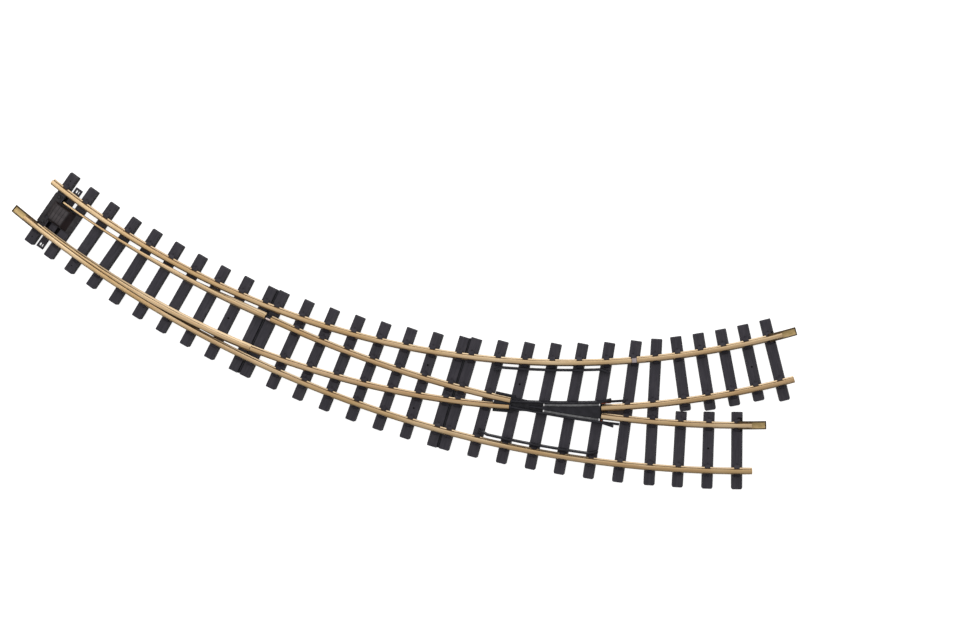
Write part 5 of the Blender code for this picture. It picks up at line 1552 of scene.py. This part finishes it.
def make_guard_rails():
    """Guard rails with a stepped foot and flared ends."""
    half = GUARD_WIDTH / 2
    foot = GUARD_FOOT_WIDTH / 2
    outline = mirrored([
        (foot, 0, 0.1 * MM), (foot, GUARD_FOOT_HEIGHT, 0.3 * MM),
        (half, GUARD_FOOT_HEIGHT, 0.3 * MM), (half, RAIL_HEIGHT, 0.45 * MM)])
    for name, route, offset, side, (start, end) in (
            ("left_guard", INNER, -RAIL_OFFSET, 1, GUARD_INNER),
            ("right_guard", OUTER, RAIL_OFFSET, -1, GUARD_OUTER)):
        beside = offset + side * GUARD_OFFSET
        flared = offset + side * (GUARD_OFFSET + GUARD_FLARE)
        path = [on_arc(route, flared, start - GUARD_FLARE_DEG)]
        path += arc_path(route, beside, start, end, 10 * MM)
        path.append(on_arc(route, flared, end + GUARD_FLARE_DEG))
        bm = blank()
        sweep(bm, path, outline, RAIL_BASE, bevel=0.25 * MM)
        piece(name + "_moulding", bm, BLACK, stands_for=[name + "_rail"])


# ---------------------------------------------------------------- rail joiners

def make_joiners():
    """Folded brass sheet that grips a rail's foot from below."""
    outer = JOINER_HALF_WIDTH
    inner = outer - JOINER_SIDE
    floor = JOINER_BOTTOM + JOINER_SIDE
    lip = JOINER_TOP - 0.65 * MM
    soft = 0.55 * MM
    outline = mirrored([
        (outer, JOINER_BOTTOM, soft), (outer, JOINER_TOP, soft),
        (JOINER_LIP, JOINER_TOP, 0.25 * MM), (JOINER_LIP, lip, 0.1 * MM),
        (inner, lip, 0.2 * MM), (inner, floor, 0.3 * MM)])
    for name, route, offset, end in (
            ("toe", OUTER, RAIL_OFFSET, TOE_RIGHT_DEG),
            ("inner_exit", INNER, -RAIL_OFFSET, INNER_END_DEG),
            ("outer_exit", OUTER, -RAIL_OFFSET, OUTER_END_DEG)):
        half_deg = arc_degrees(route, offset, JOINER_LENGTH / 2)
        bm = blank()
        sweep(bm, arc_path(route, offset, end - half_deg, end + half_deg, 4 * MM), outline,
              bevel=0.12 * MM)
        piece(name + "_joiner", bm, JOINER_BRASS, stands_for=[name + "_rail_joiner"])


# ---------------------------------------------------------------- stage

LENS_MM = 112.98
SENSOR_MM = 36
CAMERA_PLACE = Vector((0.11413, 0.29928, 3.26866))
IMAGE_RIGHT = Vector((0.77435, 0.62941, -0.06506))
IMAGE_UP = Vector((-0.63261, 0.77234, -0.05748))


def make_camera():
    """Camera high above the turnout, turned so that the toe is at the left of the image."""
    data = bpy.data.cameras.new("camera")
    data.lens = LENS_MM
    data.sensor_width = SENSOR_MM
    camera = bpy.data.objects.new("camera", data)
    bpy.context.scene.collection.objects.link(camera)
    back = IMAGE_RIGHT.cross(IMAGE_UP).normalized()
    right = IMAGE_UP.cross(back).normalized()
    up = back.cross(right)
    turn = Matrix((right, up, back)).transposed().to_4x4()
    camera.matrix_world = Matrix.Translation(CAMERA_PLACE) @ turn
    bpy.context.scene.camera = camera


def make_floor():
    """Pale table that glows, so that the gaps between the sleepers stay white."""
    bm = bmesh.new()
    bmesh.ops.create_grid(bm, x_segments=2, y_segments=2, size=12)
    mesh = bpy.data.meshes.new("floor")
    bm.to_mesh(mesh)
    bm.free()
    floor = bpy.data.objects.new("floor", mesh)
    floor.location = (0, 0, -0.05 * MM)
    bpy.context.scene.collection.objects.link(floor)
    material = bpy.data.materials.new("table")
    material.use_nodes = True
    shader = material.node_tree.nodes["Principled BSDF"]
    shader.inputs["Base Color"].default_value = (0.8, 0.8, 0.8, 1)
    shader.inputs["Roughness"].default_value = 0.9
    shader.inputs["Emission Color"].default_value = (1, 1, 1, 1)
    shader.inputs["Emission Strength"].default_value = 0.85
    mesh.materials.append(material)


def make_softbox(name, place, size, power):
    """Rectangular light that shines straight down."""
    data = bpy.data.lights.new(name, "AREA")
    data.shape = "RECTANGLE"
    data.size, data.size_y = size
    data.energy = power
    light = bpy.data.objects.new(name, data)
    light.location = place
    bpy.context.scene.collection.objects.link(light)


def make_world():
    """Soft sky that is bright on one side of the zenith and dark on the other, so that round
    metal edges show."""
    world = bpy.data.worlds.new("studio")
    bpy.context.scene.world = world
    world.use_nodes = True
    tree = world.node_tree
    background = tree.nodes["Background"]
    place = tree.nodes.new("ShaderNodeTexCoord")
    facing = tree.nodes.new("ShaderNodeVectorMath")
    facing.operation = "DOT_PRODUCT"
    facing.inputs[1].default_value = Vector((-0.45, 0.5, 1)).normalized()
    ramp = tree.nodes.new("ShaderNodeValToRGB")
    stops = ((0.25, 0.05), (0.55, 0.38), (0.74, 0.62), (0.97, 0.82))
    ramp.color_ramp.elements[0].position = stops[0][0]
    ramp.color_ramp.elements[0].color = (stops[0][1],) * 3 + (1,)
    ramp.color_ramp.elements[1].position = stops[-1][0]
    ramp.color_ramp.elements[1].color = (stops[-1][1],) * 3 + (1,)
    for position, level in stops[1:-1]:
        ramp.color_ramp.elements.new(position).color = (level, level, level, 1)
    tree.links.new(place.outputs["Generated"], facing.inputs[0])
    tree.links.new(facing.outputs["Value"], ramp.inputs["Fac"])
    tree.links.new(ramp.outputs["Color"], background.inputs["Color"])
    background.inputs["Strength"].default_value = 1.2


def make_stage():
    make_floor()
    make_world()
    make_softbox("toe_softbox", (-0.95, 0.15, 2.6), (0.5, 1.9), 5)
    make_softbox("side_softbox", (-1.17, 1.3, 2.6), (0.8, 0.8), 3)
    bpy.context.scene.view_settings.view_transform = "Standard"
    make_camera()


make_stage()
make_rails()
make_heel_tongue()
make_insulator()
make_blades()
make_heel_clips()
make_sleepers()
make_pair_joints()
make_base_tray()
make_throw_bar()
make_cover()
make_cover_screws()
make_snap_spring()
make_frog()
make_frog_fittings()
make_feed_strips()
make_guard_rails()
make_joiners()
